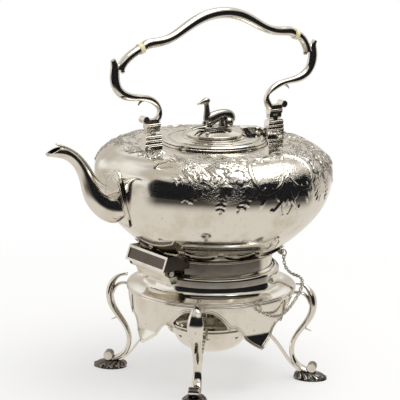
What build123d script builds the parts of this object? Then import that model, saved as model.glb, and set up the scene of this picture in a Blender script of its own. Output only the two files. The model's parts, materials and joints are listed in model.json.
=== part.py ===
from build123d import *
import os
from math import cos, pi, radians, sin

# Spirit kettle on a stand: a round-bellied kettle with a bail handle and a hound
# finial, hinged at the front of a four-legged stand that holds a spirit lamp.
# Millimetres. The origin is on the table, on the stand's axis. +X is the spout's
# side and +Z is up.

# ---------------------------------------------------------------- driving sizes
wall = 1.5                      # raised sheet of the bowl and the stand
running_gap = 0.05              # radial play of a pin in its knuckle
free_gap = 0.4                  # play between pieces that move past each other

# stand
foot_circle_r = 99.8            # centres of the feet
leg_angles = {"front_left": -45, "front_right": 45, "rear_right": 135, "rear_left": -135}
girdle_r = 82.6
girdle_z = 87.2                 # underside of the reeded girdle
girdle_h = 5.0
shoulder_r = 66.0
shoulder_z = 112.5              # top of the stand's rolled rim
shoulder_roll = 3.4             # radius of the rolled rim
rim_inner_r = 61.6
seat_drop = 3.0                 # the kettle's seat below the rim
seat_inner_r = 52.0
seat_t = 2.0

# apron
apron_waist_r = 77.2
apron_waist_z = 58.0
apron_tip_r = 83.0
pendant_z = 43.5                # tips between the legs
arch_top_z = 83.4               # openings at the legs
cusp_angle = 21.3
cusp_z = 65.0
apron_t = 1.5

# legs and feet
leg_knee_r = 100.6
leg_knee_z = 73.0
leg_knee_w = 15.5
leg_ankle_r = 80.8
leg_ankle_z = 28.0
shell_l = 36.0
shell_w = 27.0
shell_h = 8.5
shell_ribs = 11
shell_rib_w = 4.4
shell_rib_t = 3.4
volute_r = 4.6
strut_w = 5.5
strut_t = 2.2

# lamp
lamp_r = 36.5
lamp_bottom_z = 25.5
lamp_flange_r = 40.0
lamp_flange_t = 1.8
lamp_ring_z = 52.0              # top of the ring that carries the lamp
lamp_ring_h = 5.5
lamp_ring_t = 2.2
burner_r = 11.0
burner_h = 7.0
wick_r = 4.0
wick_rise = 5.0

# kettle
bowl_r = 115.5
belly_z = 205.0
bowl_z = 128.0                  # flat base over the flame
bowl_base_r = 61.5
bowl_top_z = 232.0
belly_low_z = 170.0              # joints between the bowl's bands
belly_high_z = 195.0
crown_z = 222.0
mouth_r = 46.0
foot_flange_r = 60.6
foot_neck_r = 58.8
gallery_h = 8.5
gallery_t = 1.5
gallery_points = 12

# tilting hinge below the spout
tilt_x = 71.5
tilt_z = 117.5
tilt_knuckle_r = 4.0
tilt_pin_r = 1.5
hinge_box_w = 63.0
hinge_box_front_x = 80.5
hinge_box_top_x = 75.5
hinge_box_z = 120.0
hinge_box_h = 14.0
hinge_ear_w = 4.0
hinge_frame_w = 2.4             # moulded frame round the box's face
hinge_panel_sink = 0.7

# locking pin at the rear
lock_x = -70.0
lock_z = 117.5
lock_pin_r = 1.5
tongue_w = 6.0
lug_w = 3.0
lock_shank = 16.0
lock_eye_r = 4.0

# spout
spout_wall = 1.3
collar_h = 58.0
collar_w = 31.0
collar_t = 2.0
collar_z = 189.0

# lid
lid_r = 50.0
lid_seat_t = 1.6
lid_plug_gap = 0.9
lid_rim_h = 2.6
lid_crown_z = 239.2
button_r = 28.6
button_h = 6.6
button_rim_h = 2.2
lid_hinge_x = -55.4
lid_hinge_z = 238.6
lid_knuckle_r = 2.6
lid_pin_r = 1.1

# bail handle
socket_r = 73.2                 # from the axis to the middle of each socket
socket_base_l = 21.0
socket_top_l = 14.5
socket_w = 8.4
swing_z = 250.0
swing_knuckle_r = 2.6
swing_pin_r = 1.1
reed_h = 4.0
block_top_z = 258.2
bail_reach = {"front": 118.0, "rear": 122.5}
ferrule_r = {"front": 89.0, "rear": 99.5}
insulator_l = 4.2
grip_rise = 25.5
grip_end_z = 331.0
grip_end_d = 8.6
grip_mid_d = 10.6

# chain
stud_angle = 86.0
stud_ring_r = 2.0
stud_ring_wire = 0.6
stud_ring_out = 3.2
pin_ring_wire = 0.65
link_l = 5.0
link_w = 3.4
link_wire = 0.8
link_gap = 0.25
link_pitch = 2.85

# ------------------------------------------------------------- derived places
seam_angle = 97.0               # where turned surfaces close, away from what is fixed to them
seat_z = shoulder_z - seat_drop
apron_top_z = girdle_z
shoulder_base_z = girdle_z + girdle_h
lid_z = bowl_top_z + lid_seat_t + 0.2
side = {"front": 1, "rear": -1}


def radial(angle, radius=0.0, z=0.0):
    """Upright plane through the axis: local x points outwards and local y up."""
    out = Vector(cos(radians(angle)), sin(radians(angle)), 0)
    across = (sin(radians(angle)), -cos(radians(angle)), 0)
    return Plane(out * radius + Vector(0, 0, z), x_dir=out, z_dir=across)


def facing(angle, radius, z=0.0):
    """Plane that looks outwards along a radius, local y up."""
    out = Vector(cos(radians(angle)), sin(radians(angle)), 0)
    along = (-sin(radians(angle)), cos(radians(angle)), 0)
    return Plane(out * radius + Vector(0, 0, z), x_dir=along, z_dir=out)


def across_y(x, z, y=0.0):
    """Plane across the Y axis whose local z points along +Y."""
    return Plane((x, y, z), x_dir=(0, 0, 1), z_dir=(0, 1, 0))


def oval_rod(line, stations):
    """Rod of oval sections along a line in the XZ plane; a station is (share, thickness, width)."""
    with BuildPart() as rod:
        for share, thickness, width in stations:
            with BuildSketch(Plane(line @ share, x_dir=(0, 1, 0), z_dir=line % share)):
                Ellipse(width / 2, thickness / 2)
        loft()
    return rod.part


def save(piece, name):
    piece.part.label = name
    export_step(piece.part, f"parts/{name}.step")


os.makedirs("parts", exist_ok=True)

# ======================================================================= STAND


# shoulder: rolled rim, upright wall and a hollow flare to the girdle
wall_r = shoulder_r - wall
flare_r = girdle_r - 1.6
flare_top_z = shoulder_base_z + 11
with BuildPart() as stand_shoulder:
    with BuildSketch(Plane.XZ):
        with BuildLine():
            Line((rim_inner_r, shoulder_z), (shoulder_r - shoulder_roll, shoulder_z))
            RadiusArc((shoulder_r - shoulder_roll, shoulder_z),
                      (shoulder_r, shoulder_z - shoulder_roll), shoulder_roll)
            Line((shoulder_r, shoulder_z - shoulder_roll), (shoulder_r, flare_top_z))
            Spline((shoulder_r, flare_top_z), (flare_r, shoulder_base_z), tangents=((0, -1), (1, -0.15)))
            Line((flare_r, shoulder_base_z), (flare_r - 6, shoulder_base_z))
            Spline((flare_r - 6, shoulder_base_z), (wall_r, flare_top_z), tangents=((-1, 0.15), (0, 1)))
            Polyline((wall_r, flare_top_z), (wall_r, shoulder_z - wall),
                     (rim_inner_r, shoulder_z - wall), (rim_inner_r, shoulder_z))
        make_face()
    revolve(axis=Axis.Z)
save(stand_shoulder, "stand_shoulder")

with BuildPart() as seat_ring:
    with BuildSketch(Plane.XY.offset(seat_z - seat_t)):
        Circle(shoulder_r - wall)
        Circle(seat_inner_r, mode=Mode.SUBTRACT)
    extrude(amount=seat_t)
    fillet(seat_ring.edges().filter_by(GeomType.CIRCLE).sort_by(SortBy.RADIUS)[:2], 0.6)
save(seat_ring, "seat_ring")

with BuildPart() as stand_girdle:
    with BuildSketch(Plane.XZ):
        with Locations((girdle_r - 1.9, girdle_z + girdle_h / 2)):
            Rectangle(1.8, girdle_h)
        with Locations([(girdle_r - 1.25, girdle_z + girdle_h * share) for share in (0.25, 0.75)]):
            Circle(girdle_h / 4)
    revolve(axis=Axis.Z)
save(stand_girdle, "stand_girdle")


# what is cut from the apron on each side of one pendant
leg_x = apron_waist_r * sin(radians(45))
cusp_x = apron_waist_r * sin(radians(45 - cusp_angle))
with BuildPart() as arch:
    with BuildSketch(facing(0, 40)):
        with BuildLine():
            Line((leg_x + 5, arch_top_z), (leg_x - 3, arch_top_z))
            Spline((leg_x - 3, arch_top_z), (leg_x - 13.5, arch_top_z - 5), (cusp_x, cusp_z),
                   tangents=((-1, 0), (-0.35, -1)))
            Spline((cusp_x, cusp_z), (cusp_x - 3, cusp_z + 1.8),
                   (cusp_x * 0.5, (cusp_z + pendant_z) / 2 + 1), (0, pendant_z),
                   tangents=((-0.3, 1), (-1, -0.75)))
            floor_z = pendant_z - 12
            Polyline((0, pendant_z), (0, floor_z), (leg_x + 5, floor_z), (leg_x + 5, arch_top_z))
        make_face()
        mirror(about=Plane.YZ)
    extrude(amount=60)
apron_mid_z = (apron_top_z + apron_waist_z) / 2 - 2
with BuildPart() as apron_sheet:
    with BuildSketch(radial(seam_angle)):
        with BuildLine():
            skin = Spline((girdle_r - 2.4, apron_top_z), (apron_waist_r + 1.4, apron_mid_z),
                          (apron_waist_r, apron_waist_z), (apron_tip_r, pendant_z),
                          tangents=((-0.05, -1), (0.75, -1)))
            back = Spline((girdle_r - 2.4 - apron_t, apron_top_z), (apron_waist_r + 1.4 - apron_t, apron_mid_z),
                          (apron_waist_r - apron_t, apron_waist_z), (apron_tip_r - apron_t, pendant_z),
                          tangents=((-0.05, -1), (0.75, -1)))
            Line(skin @ 0, back @ 0)
            Line(skin @ 1, back @ 1)
        make_face()
    revolve(axis=Axis.Z)
with BuildPart() as stand_apron:
    add(apron_sheet.part)
    for angle in leg_angles.values():
        add(arch.part, rotation=(0, 0, angle + 45), mode=Mode.SUBTRACT)
save(stand_apron, "stand_apron")

# legs, each a leaf-topped S scroll that splits to the girdle and the apron
with BuildLine(Plane.XZ) as leg_line:
    Spline((girdle_r + 0.6, girdle_z + 8.6), (leg_knee_r - 6.5, girdle_z + 4.6), (leg_knee_r, leg_knee_z + 2),
           (leg_knee_r - 5.5, leg_knee_z - 15), (leg_ankle_r + 3.4, leg_ankle_z + 14),
           (leg_ankle_r, leg_ankle_z), (leg_ankle_r + 3.4, 16.8), (foot_circle_r - 9.0, 10.6),
           (foot_circle_r - 2.5, 8.4))
with BuildLine(Plane.XZ) as branch_line:
    Spline((girdle_r - 3.2, girdle_z - 1.8), (girdle_r + 5, girdle_z - 0.6),
           (leg_knee_r - 3.0, leg_knee_z + 3),
           tangents=((1, 0.3), (0.3, -1)))
with BuildLine(Plane.XZ) as spur_line:
    Spline((leg_knee_r - 9.5, leg_knee_z - 21), (leg_knee_r - 4.5, leg_knee_z - 25.5),
           (leg_knee_r - 1.5, leg_knee_z - 24.5))

leg_scroll = oval_rod(leg_line.line, ((0, 3.4, 5), (0.12, 4.4, 7), (0.27, 7.4, leg_knee_w), (0.42, 6.4, 12.5),
                                      (0.56, 5.4, 9.6), (0.72, 5, 8.5), (0.86, 5, 9.5), (1, 4.6, 11)))
leg_branch = oval_rod(branch_line.line, ((0, 3, 5), (0.5, 3.2, 6), (1, 3.4, 8)))
leg_spur = oval_rod(spur_line.line, ((0, 3.6, 5), (1, 1.2, 3)))
with BuildPart() as leg_blank:
    add(leg_scroll)
    add(leg_branch)
    add(leg_spur)

# scallop shell: a low dome with ribs that fan from its heel to a scalloped rim, and a volute on top
heel_r = foot_circle_r - shell_l * 0.3
rib_top_z = shell_h * 0.74
with BuildPart() as foot_blank:
    with BuildSketch(Plane.XY):
        with Locations((foot_circle_r, 0)):
            Ellipse(shell_l * 0.46, shell_w * 0.46)
    with BuildSketch(Plane.XY.offset(shell_h * 0.35)):
        with Locations((foot_circle_r - 0.5, 0)):
            Ellipse(shell_l * 0.43, shell_w * 0.4)
    with BuildSketch(Plane.XY.offset(shell_h * 0.85)):
        with Locations((foot_circle_r - 4, 0)):
            Ellipse(shell_l * 0.2, shell_w * 0.18)
    loft()
    for n in range(shell_ribs):
        fan = radians(-132 + 264 * n / (shell_ribs - 1))
        # distance from the heel to the shell's oval rim in this direction
        a, b, back_off = (shell_l - shell_rib_w) / 2, (shell_w - shell_rib_w) / 2, foot_circle_r - heel_r
        flat = (cos(fan) / a) ** 2 + (sin(fan) / b) ** 2
        lean = back_off * cos(fan) / a ** 2
        reach = (lean + (lean ** 2 - flat * ((back_off / a) ** 2 - 1)) ** 0.5) / flat
        way = Vector(cos(fan), sin(fan), 0)
        side_way = Vector(-sin(fan), cos(fan), 0)
        heel = Vector(heel_r, 0, 0)
        places = [heel + way * (reach * share) + Vector(0, 0, z) for share, z in
                  ((0.12, rib_top_z), (0.55, rib_top_z - 0.6), (1, shell_rib_t / 2 + 0.1))]
        with BuildLine():
            rib_line = Spline(*places)
        for share, size in ((0, 0.4), (0.5, 0.8), (1, 1)):
            with BuildSketch(Plane(rib_line @ share, x_dir=side_way, z_dir=rib_line % share)) as rib_section:
                Ellipse(shell_rib_w * size / 2, shell_rib_t * size / 2)
        loft()
    with BuildSketch(Plane.XY.offset(-shell_rib_t)):
        with Locations((foot_circle_r, 0)):
            Rectangle(2 * shell_l, 2 * shell_w)
    extrude(amount=shell_rib_t, mode=Mode.SUBTRACT)
    with BuildSketch(across_y(foot_circle_r + 1.5, shell_h + volute_r * 0.72, -5.2)):
        Circle(volute_r)
    extrude(amount=10.4)

# flat straps from the feet to the lamp ring
strut_in_r = lamp_flange_r + 1.6
with BuildLine(Plane.XZ) as strut_line:
    Spline((foot_circle_r - 9.0, 7.6), (76.4, 20.3), (62.2, 38.8), (strut_in_r, lamp_ring_z - 3.4),
           tangents=((-0.9, 0.35), (-1, 0.12)))
with BuildPart() as strut_blank:
    for share in (0, 0.25, 0.5, 0.75, 1):
        with BuildSketch(Plane(strut_line.line @ share, x_dir=(0, 1, 0), z_dir=strut_line.line % share)):
            Rectangle(strut_w, strut_t)
    loft()

with BuildPart() as lamp_ring:
    with BuildSketch(Plane.XY.offset(lamp_ring_z - lamp_ring_h)):
        Circle(strut_in_r + 0.6)
        Circle(strut_in_r + 0.6 - lamp_ring_t, mode=Mode.SUBTRACT)
    extrude(amount=lamp_ring_h)
    fillet(lamp_ring.edges().group_by(Axis.Z)[-1], 0.8)
save(lamp_ring, "lamp_ring")

for place, angle in leg_angles.items():
    with BuildPart() as foot:
        add(foot_blank.part, rotation=(0, 0, angle))
    save(foot, f"foot_{place}")
    with BuildPart() as leg:
        add(leg_blank.part, rotation=(0, 0, angle))
        for seat in (stand_girdle, stand_apron, stand_shoulder, foot):
            add(seat.part, mode=Mode.SUBTRACT)
    save(leg, f"leg_{place}")
    with BuildPart() as strut:
        add(strut_blank.part, rotation=(0, 0, angle))
        for seat in (lamp_ring, foot, leg):
            add(seat.part, mode=Mode.SUBTRACT)
    save(strut, f"strut_{place}")

# tilting hinge, stand half
barrel_half = hinge_box_w / 2 - hinge_ear_w - free_gap
with BuildPart() as tilt_bracket:
    with BuildSketch(across_y(0, 0, -barrel_half)):
        with BuildLine():
            # local x is up and local y is +X
            Polyline((shoulder_z - 7.0, 55), (shoulder_z - 7.0, shoulder_r + 1.5),
                     (tilt_z - tilt_knuckle_r, tilt_x),
                     (tilt_z, tilt_x), (shoulder_z, tilt_x - 4.5), (shoulder_z, 55), close=True)
        make_face()
        with Locations((tilt_z, tilt_x)):
            Circle(tilt_knuckle_r)
    extrude(amount=2 * barrel_half)
    with BuildSketch(Plane.XY.offset(shoulder_z - 20)):
        Circle(shoulder_r)
    extrude(amount=20, mode=Mode.SUBTRACT)
    with Locations((tilt_x, 0, tilt_z)):
        Cylinder(tilt_pin_r + running_gap, 2 * barrel_half, rotation=(90, 0, 0), mode=Mode.SUBTRACT)
save(tilt_bracket, "tilt_bracket")

# locking pin lugs at the rear, one each side of the kettle's tongue
lug_y = tongue_w / 2 + free_gap
with BuildPart() as lock_lugs:
    for hand in (1, -1):
        with BuildSketch(across_y(0, 0, hand * (lug_y + lug_w / 2))):
            with BuildLine():
                # local x is up and local y is +X
                Polyline((lock_z - 14, -60), (lock_z - 14, -shoulder_r), (lock_z, lock_x - 4),
                         (lock_z, lock_x + 3.6), (shoulder_z, -60), close=True)
            make_face()
            with Locations((lock_z, lock_x)):
                Circle(4)
        extrude(amount=lug_w / 2, both=True)
    with BuildSketch(Plane.XY.offset(shoulder_z - 30)):
        Circle(shoulder_r)
    extrude(amount=34, mode=Mode.SUBTRACT)
    with Locations((lock_x, 0, lock_z)):
        Cylinder(lock_pin_r + running_gap, 40, rotation=(90, 0, 0), mode=Mode.SUBTRACT)
save(lock_lugs, "lock_lugs")

# stud on the girdle that holds the chain's end
stud_z = girdle_z + girdle_h * 3 / 4
stud_ring_z = stud_z - 0.4
with BuildPart() as chain_stud:
    with BuildSketch(facing(stud_angle, girdle_r - 2.5, stud_z)):
        Circle(1.6)
    extrude(amount=4.2)
    with Locations(facing(stud_angle, girdle_r + stud_ring_out, stud_ring_z)):
        Torus(stud_ring_r, stud_ring_wire, rotation=(0, 90, 0))
    add(stand_girdle.part, mode=Mode.SUBTRACT)
    add(stand_shoulder.part, mode=Mode.SUBTRACT)
save(chain_stud, "chain_stud")

# ====================================================================== KETTLE


def bowl_body(inset):
    """Solid of the bowl's form with its surface moved inwards by inset."""
    base = (bowl_base_r - inset * 0.6, bowl_z + inset)
    flank = (bowl_r - 17.6 - 0.75 * inset, bowl_z + 32 + 0.65 * inset)
    belly = (bowl_r - inset, belly_z)
    brow = (bowl_r - 10.0 - 0.75 * inset, bowl_top_z - 7.6 - 0.7 * inset)
    crown = (lid_r + 3, bowl_top_z - inset)
    with BuildPart() as body:
        with BuildSketch(radial(seam_angle)):
            with BuildLine():
                Spline(base, flank, belly, tangents=((1, 0.75), (0, 1)))
                Spline(belly, brow, crown, tangents=((0, 1), (-1, 0)))
                Polyline(crown, (0, crown[1]), (0, base[1]), base)
            make_face()
        revolve(axis=Axis.Z)
    return body.part


bowl_outside = bowl_body(0)
bowl_inside = bowl_body(wall)

# spout: a swan neck from a tall oval root to a slanted, open beak
with BuildLine(Plane.XZ) as spout_line:
    Spline((bowl_r - 19, 180.5), (118.5, 182.4), (131.5, 187.5), (140.3, 198.8), (147.6, 214.5),
           (157.6, 230.0), (166.6, 237.4), (175.0, 240.9), (182.0, 242.1), (188.8, 242.6))
spout_sections = ((0, 34, 27), (0.133, 29.5, 24), (0.238, 26, 21), (0.37, 19, 16.5), (0.52, 14, 13),
                  (0.68, 10.6, 11), (0.77, 10.6, 11), (0.86, 11.2, 11.8), (0.94, 10.6, 11.4), (1, 8.6, 9.2))
lip_cut_x = 171.5               # the beak is cut away above a line from here to the lip
lip_cut_z = 247.0
lip_end_z = 239.2
beak_share = 0.74                # where along the line the beak is joined to the neck


def spout_body(inset):
    """Loft the spout's form, its surface moved inwards by inset, from a root inside the bowl."""
    line = spout_line.line
    with BuildPart() as body:
        for share, tall, wide in spout_sections:
            with BuildSketch(Plane(line @ share, x_dir=(0, 1, 0), z_dir=line % share)):
                Ellipse(wide / 2 - inset, tall / 2 - inset)
        loft()
    return body.part


spout_outside = spout_body(0)
spout_bore = spout_body(spout_wall)

with BuildPart() as bowl_shell:
    add(bowl_outside)
    add(bowl_inside, mode=Mode.SUBTRACT)
    add(spout_bore, mode=Mode.SUBTRACT)
    with BuildSketch(Plane.XY.offset(bowl_top_z - 12)):
        Circle(mouth_r)
    extrude(amount=20, mode=Mode.SUBTRACT)

# the shell is raised in bands that are soldered edge to edge
bowl_bands = (("kettle_base", bowl_z - 1, bowl_z + wall), ("kettle_flank", bowl_z + wall, belly_low_z),
              ("kettle_belly", belly_low_z, belly_high_z), ("kettle_shoulder", belly_high_z, crown_z),
              ("kettle_crown", crown_z, bowl_top_z + 1))
for band_name, low_z, high_z in bowl_bands:
    with BuildPart() as bowl_band:
        add(bowl_shell.part)
        with BuildSketch(Plane.XY.offset(low_z)):
            Rectangle(3 * bowl_r, 3 * bowl_r)
        extrude(amount=high_z - low_z, mode=Mode.INTERSECT)
    save(bowl_band, band_name)

with BuildPart() as spout:
    add(spout_outside)
    add(spout_bore, mode=Mode.SUBTRACT)
    add(bowl_outside, mode=Mode.SUBTRACT)
    with BuildSketch(Plane.XZ):
        with BuildLine():
            lip_x = (spout_line.line @ 1).X + 3
            Polyline((lip_cut_x, lip_cut_z), (lip_x, lip_end_z), (lip_x, lip_cut_z + 9),
                     (lip_cut_x, lip_cut_z + 9), close=True)
        make_face()
    extrude(amount=15, both=True, mode=Mode.SUBTRACT)
beak_joint = Plane(spout_line.line @ beak_share, x_dir=(0, 1, 0), z_dir=spout_line.line % beak_share)
for spout_name, keep in (("spout_neck", Mode.SUBTRACT), ("spout_beak", Mode.INTERSECT)):
    with BuildPart() as spout_half:
        add(spout.part)
        with BuildSketch(beak_joint):
            Rectangle(2 * bowl_r, 2 * bowl_r)
        extrude(amount=bowl_r, mode=keep)
    save(spout_half, spout_name)

with BuildPart() as spout_collar:
    add(bowl_body(-collar_t))
    with BuildSketch(Plane.YZ.offset(80)):
        with Locations((0, collar_z)):
            Ellipse(collar_w / 2, collar_h / 2)
    extrude(amount=60, mode=Mode.INTERSECT)
    add(bowl_outside, mode=Mode.SUBTRACT)
    add(spout_outside, mode=Mode.SUBTRACT)
    add(spout_bore, mode=Mode.SUBTRACT)
save(spout_collar, "spout_collar")

# smooth leaf on the spout's back, its lower tip free
with BuildLine(Plane.XZ) as leaf_line:
    Spline((124.6, 203.6), (133.2, 208.6), (141.6, 219.8), (149.0, 228.6), (156.6, 236.2), (165.6, 243.0),
           (174.2, 247.3), (179.6, 248.6))
leaf_rod = oval_rod(leaf_line.line, ((0, 1.4, 2.6), (0.15, 2.2, 8), (0.45, 2.4, 7.4), (0.75, 2.4, 7.4),
                                     (1, 1.6, 3)))
with BuildPart() as spout_leaf:
    add(leaf_rod)
    add(spout_outside, mode=Mode.SUBTRACT)
save(spout_leaf, "spout_leaf")

# foot ring that drops into the stand's rim
neck_in_r = foot_neck_r - wall
with BuildPart() as kettle_foot:
    with BuildSketch(Plane.XZ):
        with BuildLine():
            Polyline((neck_in_r, seat_z), (foot_flange_r, seat_z), (foot_flange_r, seat_z + 2.4),
                     (foot_neck_r, seat_z + 4.0), (foot_neck_r, bowl_z - 3.0))
            RadiusArc((foot_neck_r, bowl_z - 3.0), (bowl_base_r - 0.2, bowl_z), -4)
            Polyline((bowl_base_r - 0.2, bowl_z), (neck_in_r, bowl_z), (neck_in_r, seat_z))
        make_face()
    revolve(axis=Axis.Z)
save(kettle_foot, "kettle_foot")

# scalloped gallery that hugs the bowl's underside above the foot
with BuildPart() as foot_gallery:
    add(bowl_body(-gallery_t))
    with BuildSketch(Plane.XY.offset(bowl_z - 10)):
        Rectangle(3 * bowl_r, 3 * bowl_r)
    extrude(amount=10, mode=Mode.SUBTRACT)
    with BuildSketch(Plane.XY.offset(bowl_z + gallery_h)):
        Rectangle(3 * bowl_r, 3 * bowl_r)
    extrude(amount=120, mode=Mode.SUBTRACT)
    add(bowl_outside, mode=Mode.SUBTRACT)
    for n in range(gallery_points):
        scallop_turn = (n + 0.5) * 360 / gallery_points
        with BuildSketch(facing(scallop_turn, 40, bowl_z + gallery_h)):
            Ellipse(pi * 70 / gallery_points * 0.9, gallery_h * 0.62)
        extrude(amount=60, mode=Mode.SUBTRACT)
save(foot_gallery, "foot_gallery")

# hinge box below the spout: a cover, open below, with an ear at each end for the pin
box_top_z = hinge_box_z + hinge_box_h
half_box = hinge_box_w / 2
face_foot = Vector(hinge_box_front_x, 0, hinge_box_z)
face_up = Vector(hinge_box_top_x, 0, box_top_z) - face_foot
face_middle = face_foot + face_up / 2
with BuildPart() as hinge_box:
    with BuildSketch(across_y(0, 0, -half_box)):
        with BuildLine():
            Polyline((hinge_box_z, foot_neck_r - 12), (hinge_box_z, hinge_box_front_x),
                     (box_top_z, hinge_box_top_x),
                     (box_top_z, foot_neck_r - 12), close=True)
        make_face()
    extrude(amount=hinge_box_w)
    with BuildSketch(across_y(0, 0, hinge_ear_w - half_box)):
        with BuildLine():
            Polyline((hinge_box_z, foot_neck_r - 14), (hinge_box_z, hinge_box_front_x - wall),
                     (box_top_z - wall * 2,
                     hinge_box_top_x - wall), (box_top_z - wall * 2, foot_neck_r - 14), close=True)
        make_face()
    extrude(amount=hinge_box_w - 2 * hinge_ear_w, mode=Mode.SUBTRACT)
    for hand in (1, -1):
        with BuildSketch(across_y(0, 0, hand * (half_box - hinge_ear_w / 2))):
            with Locations((tilt_z, tilt_x)):
                Circle(tilt_knuckle_r)
            with Locations(((tilt_z + hinge_box_z) / 2 + 1, tilt_x)):
                Rectangle(hinge_box_z - tilt_z + 2, 2 * tilt_knuckle_r)
        extrude(amount=hinge_ear_w / 2, both=True)
    with Locations((tilt_x, 0, tilt_z)):
        Cylinder(tilt_pin_r, hinge_box_w + 2, rotation=(90, 0, 0), mode=Mode.SUBTRACT)
    with BuildSketch(Plane.XY.offset(seat_z)):
        Circle(foot_neck_r)
    extrude(amount=bowl_z - seat_z, mode=Mode.SUBTRACT)
    add(bowl_body(-gallery_t), mode=Mode.SUBTRACT)
    add(kettle_foot.part, mode=Mode.SUBTRACT)
    with BuildSketch(Plane(face_middle, x_dir=(0, 1, 0), z_dir=(face_up.Z, 0, -face_up.X))):
        Rectangle(hinge_box_w - 2 * hinge_frame_w, face_up.length - 2 * hinge_frame_w)
    extrude(amount=-hinge_panel_sink, mode=Mode.SUBTRACT)
save(hinge_box, "hinge_box")

pin_head_t = 1.4
with BuildPart() as tilt_pin:
    with Locations((tilt_x, 0, tilt_z)):
        Cylinder(tilt_pin_r, hinge_box_w, rotation=(90, 0, 0))
    with Locations((tilt_x, half_box + pin_head_t / 2, tilt_z), (tilt_x, -half_box - pin_head_t / 2, tilt_z)):
        Cylinder(tilt_pin_r + 1.2, pin_head_t, rotation=(90, 0, 0))
save(tilt_pin, "tilt_pin")

# tongue at the rear of the foot, bored for the locking pin
with BuildPart() as lock_tongue:
    with BuildSketch(across_y(0, 0, -tongue_w / 2)):
        with BuildLine():
            Polyline((lock_z - 2.6, -foot_neck_r + 2), (lock_z - 3, lock_x), (lock_z + 3, lock_x),
                     (lock_z + 5, -foot_neck_r + 2), close=True)
        make_face()
        with Locations((lock_z, lock_x)):
            Circle(3.6)
    extrude(amount=tongue_w)
    with BuildSketch(Plane.XY.offset(seat_z)):
        Circle(foot_neck_r)
    extrude(amount=bowl_z - seat_z, mode=Mode.SUBTRACT)
    with Locations((lock_x, 0, lock_z)):
        Cylinder(lock_pin_r + running_gap, tongue_w + 2, rotation=(90, 0, 0), mode=Mode.SUBTRACT)
save(lock_tongue, "lock_tongue")

# pull-out locking pin, drawn clear of the tongue and still in its lug
pin_tip_y = lug_y - 0.1
pin_head_y = pin_tip_y + lock_shank
pin_ring_y = pin_head_y + 2.0 + lock_eye_r
with BuildPart() as lock_pin:
    with BuildSketch(across_y(lock_x, lock_z, pin_tip_y)):
        Circle(lock_pin_r)
    extrude(amount=lock_shank)
    chamfer(lock_pin.faces().sort_by(Axis.Y)[0].edges(), 0.5)
    with BuildSketch(across_y(lock_x, lock_z, pin_head_y)):
        Circle(lock_pin_r + 1.3)
    extrude(amount=2.4)
    with Locations((lock_x, pin_ring_y, lock_z)):
        Torus(lock_eye_r - pin_ring_wire, pin_ring_wire, rotation=(0, 90, 0))
save(lock_pin, "lock_pin")

# seat ring of the lid, let into the mouth
lid_bore_r = mouth_r - wall
with BuildPart() as lid_seat:
    with BuildSketch(Plane.XZ):
        with BuildLine():
            Polyline((lid_bore_r, bowl_top_z - 5), (mouth_r, bowl_top_z - 5), (mouth_r, bowl_top_z),
                     (lid_r + 1.2, bowl_top_z), (lid_r + 1.2, bowl_top_z + lid_seat_t),
                     (lid_bore_r, bowl_top_z + lid_seat_t), close=True)
        make_face()
    revolve(axis=Axis.Z)
    fillet(lid_seat.edges().filter_by(GeomType.CIRCLE).sort_by(SortBy.RADIUS)[-2:].sort_by(Axis.Z)[-1], 0.7)
save(lid_seat, "lid_seat")

# lid hinge, kettle half: two knuckles on a small bracket behind the lid
knuckle_l = 5.0
leaf_knuckle_l = 7.0
with BuildPart() as lid_bracket:
    for hand in (1, -1):
        with BuildSketch(across_y(0, 0, hand * (leaf_knuckle_l / 2 + free_gap / 2 + knuckle_l / 2))):
            with Locations((lid_hinge_z, lid_hinge_x)):
                Circle(lid_knuckle_r)
            with Locations(((lid_hinge_z + bowl_top_z) / 2 - 1, lid_hinge_x)):
                Rectangle(lid_hinge_z - bowl_top_z + 2, 2 * lid_knuckle_r - 0.8)
        extrude(amount=knuckle_l / 2, both=True)
    add(bowl_outside, mode=Mode.SUBTRACT)
    with BuildSketch(Plane.XY.offset(bowl_top_z)):
        Circle(lid_r + 1.2)
    extrude(amount=lid_seat_t, mode=Mode.SUBTRACT)
    with Locations((lid_hinge_x, 0, lid_hinge_z)):
        Cylinder(lid_pin_r, 30, rotation=(90, 0, 0), mode=Mode.SUBTRACT)
save(lid_bracket, "lid_bracket")

with BuildPart() as lid_pin:
    with Locations((lid_hinge_x, 0, lid_hinge_z)):
        Cylinder(lid_pin_r, leaf_knuckle_l + free_gap + 2 * knuckle_l, rotation=(90, 0, 0))
save(lid_pin, "lid_pin")

# ------------------------------------------------------------- bail and sockets


def mirrored(x, end):
    """Distance along X at the front or the rear end."""
    return side[end] * x


def reeded_block(end, z0, z1, reeds):
    """Block of stacked reeds along X that narrows upwards like the socket."""
    def half_length(z):
        low_z = bowl_top_z - 2
        share = (z - low_z) / (block_top_z - low_z)
        return (socket_base_l + (socket_top_l - socket_base_l) * share) / 2
    with BuildPart() as block:
        with BuildSketch(Plane.YZ.offset(mirrored(socket_r, end))):
            with Locations((0, (z0 + z1) / 2)):
                Rectangle(socket_w - 1.2, z1 - z0)
            for n in range(reeds):
                with Locations((0, z1 - (n + 0.5) * reed_h)):
                    Ellipse(socket_w / 2, reed_h / 2)
        extrude(amount=socket_base_l, both=True)
        with BuildSketch(Plane.XZ):
            with BuildLine():
                middle = mirrored(socket_r, end)
                Polyline((middle - half_length(z0), z0), (middle + half_length(z0), z0),
                         (middle + half_length(z1), z1), (middle - half_length(z1), z1), close=True)
            make_face()
        extrude(amount=socket_w, both=True, mode=Mode.INTERSECT)
    return block.part


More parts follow.
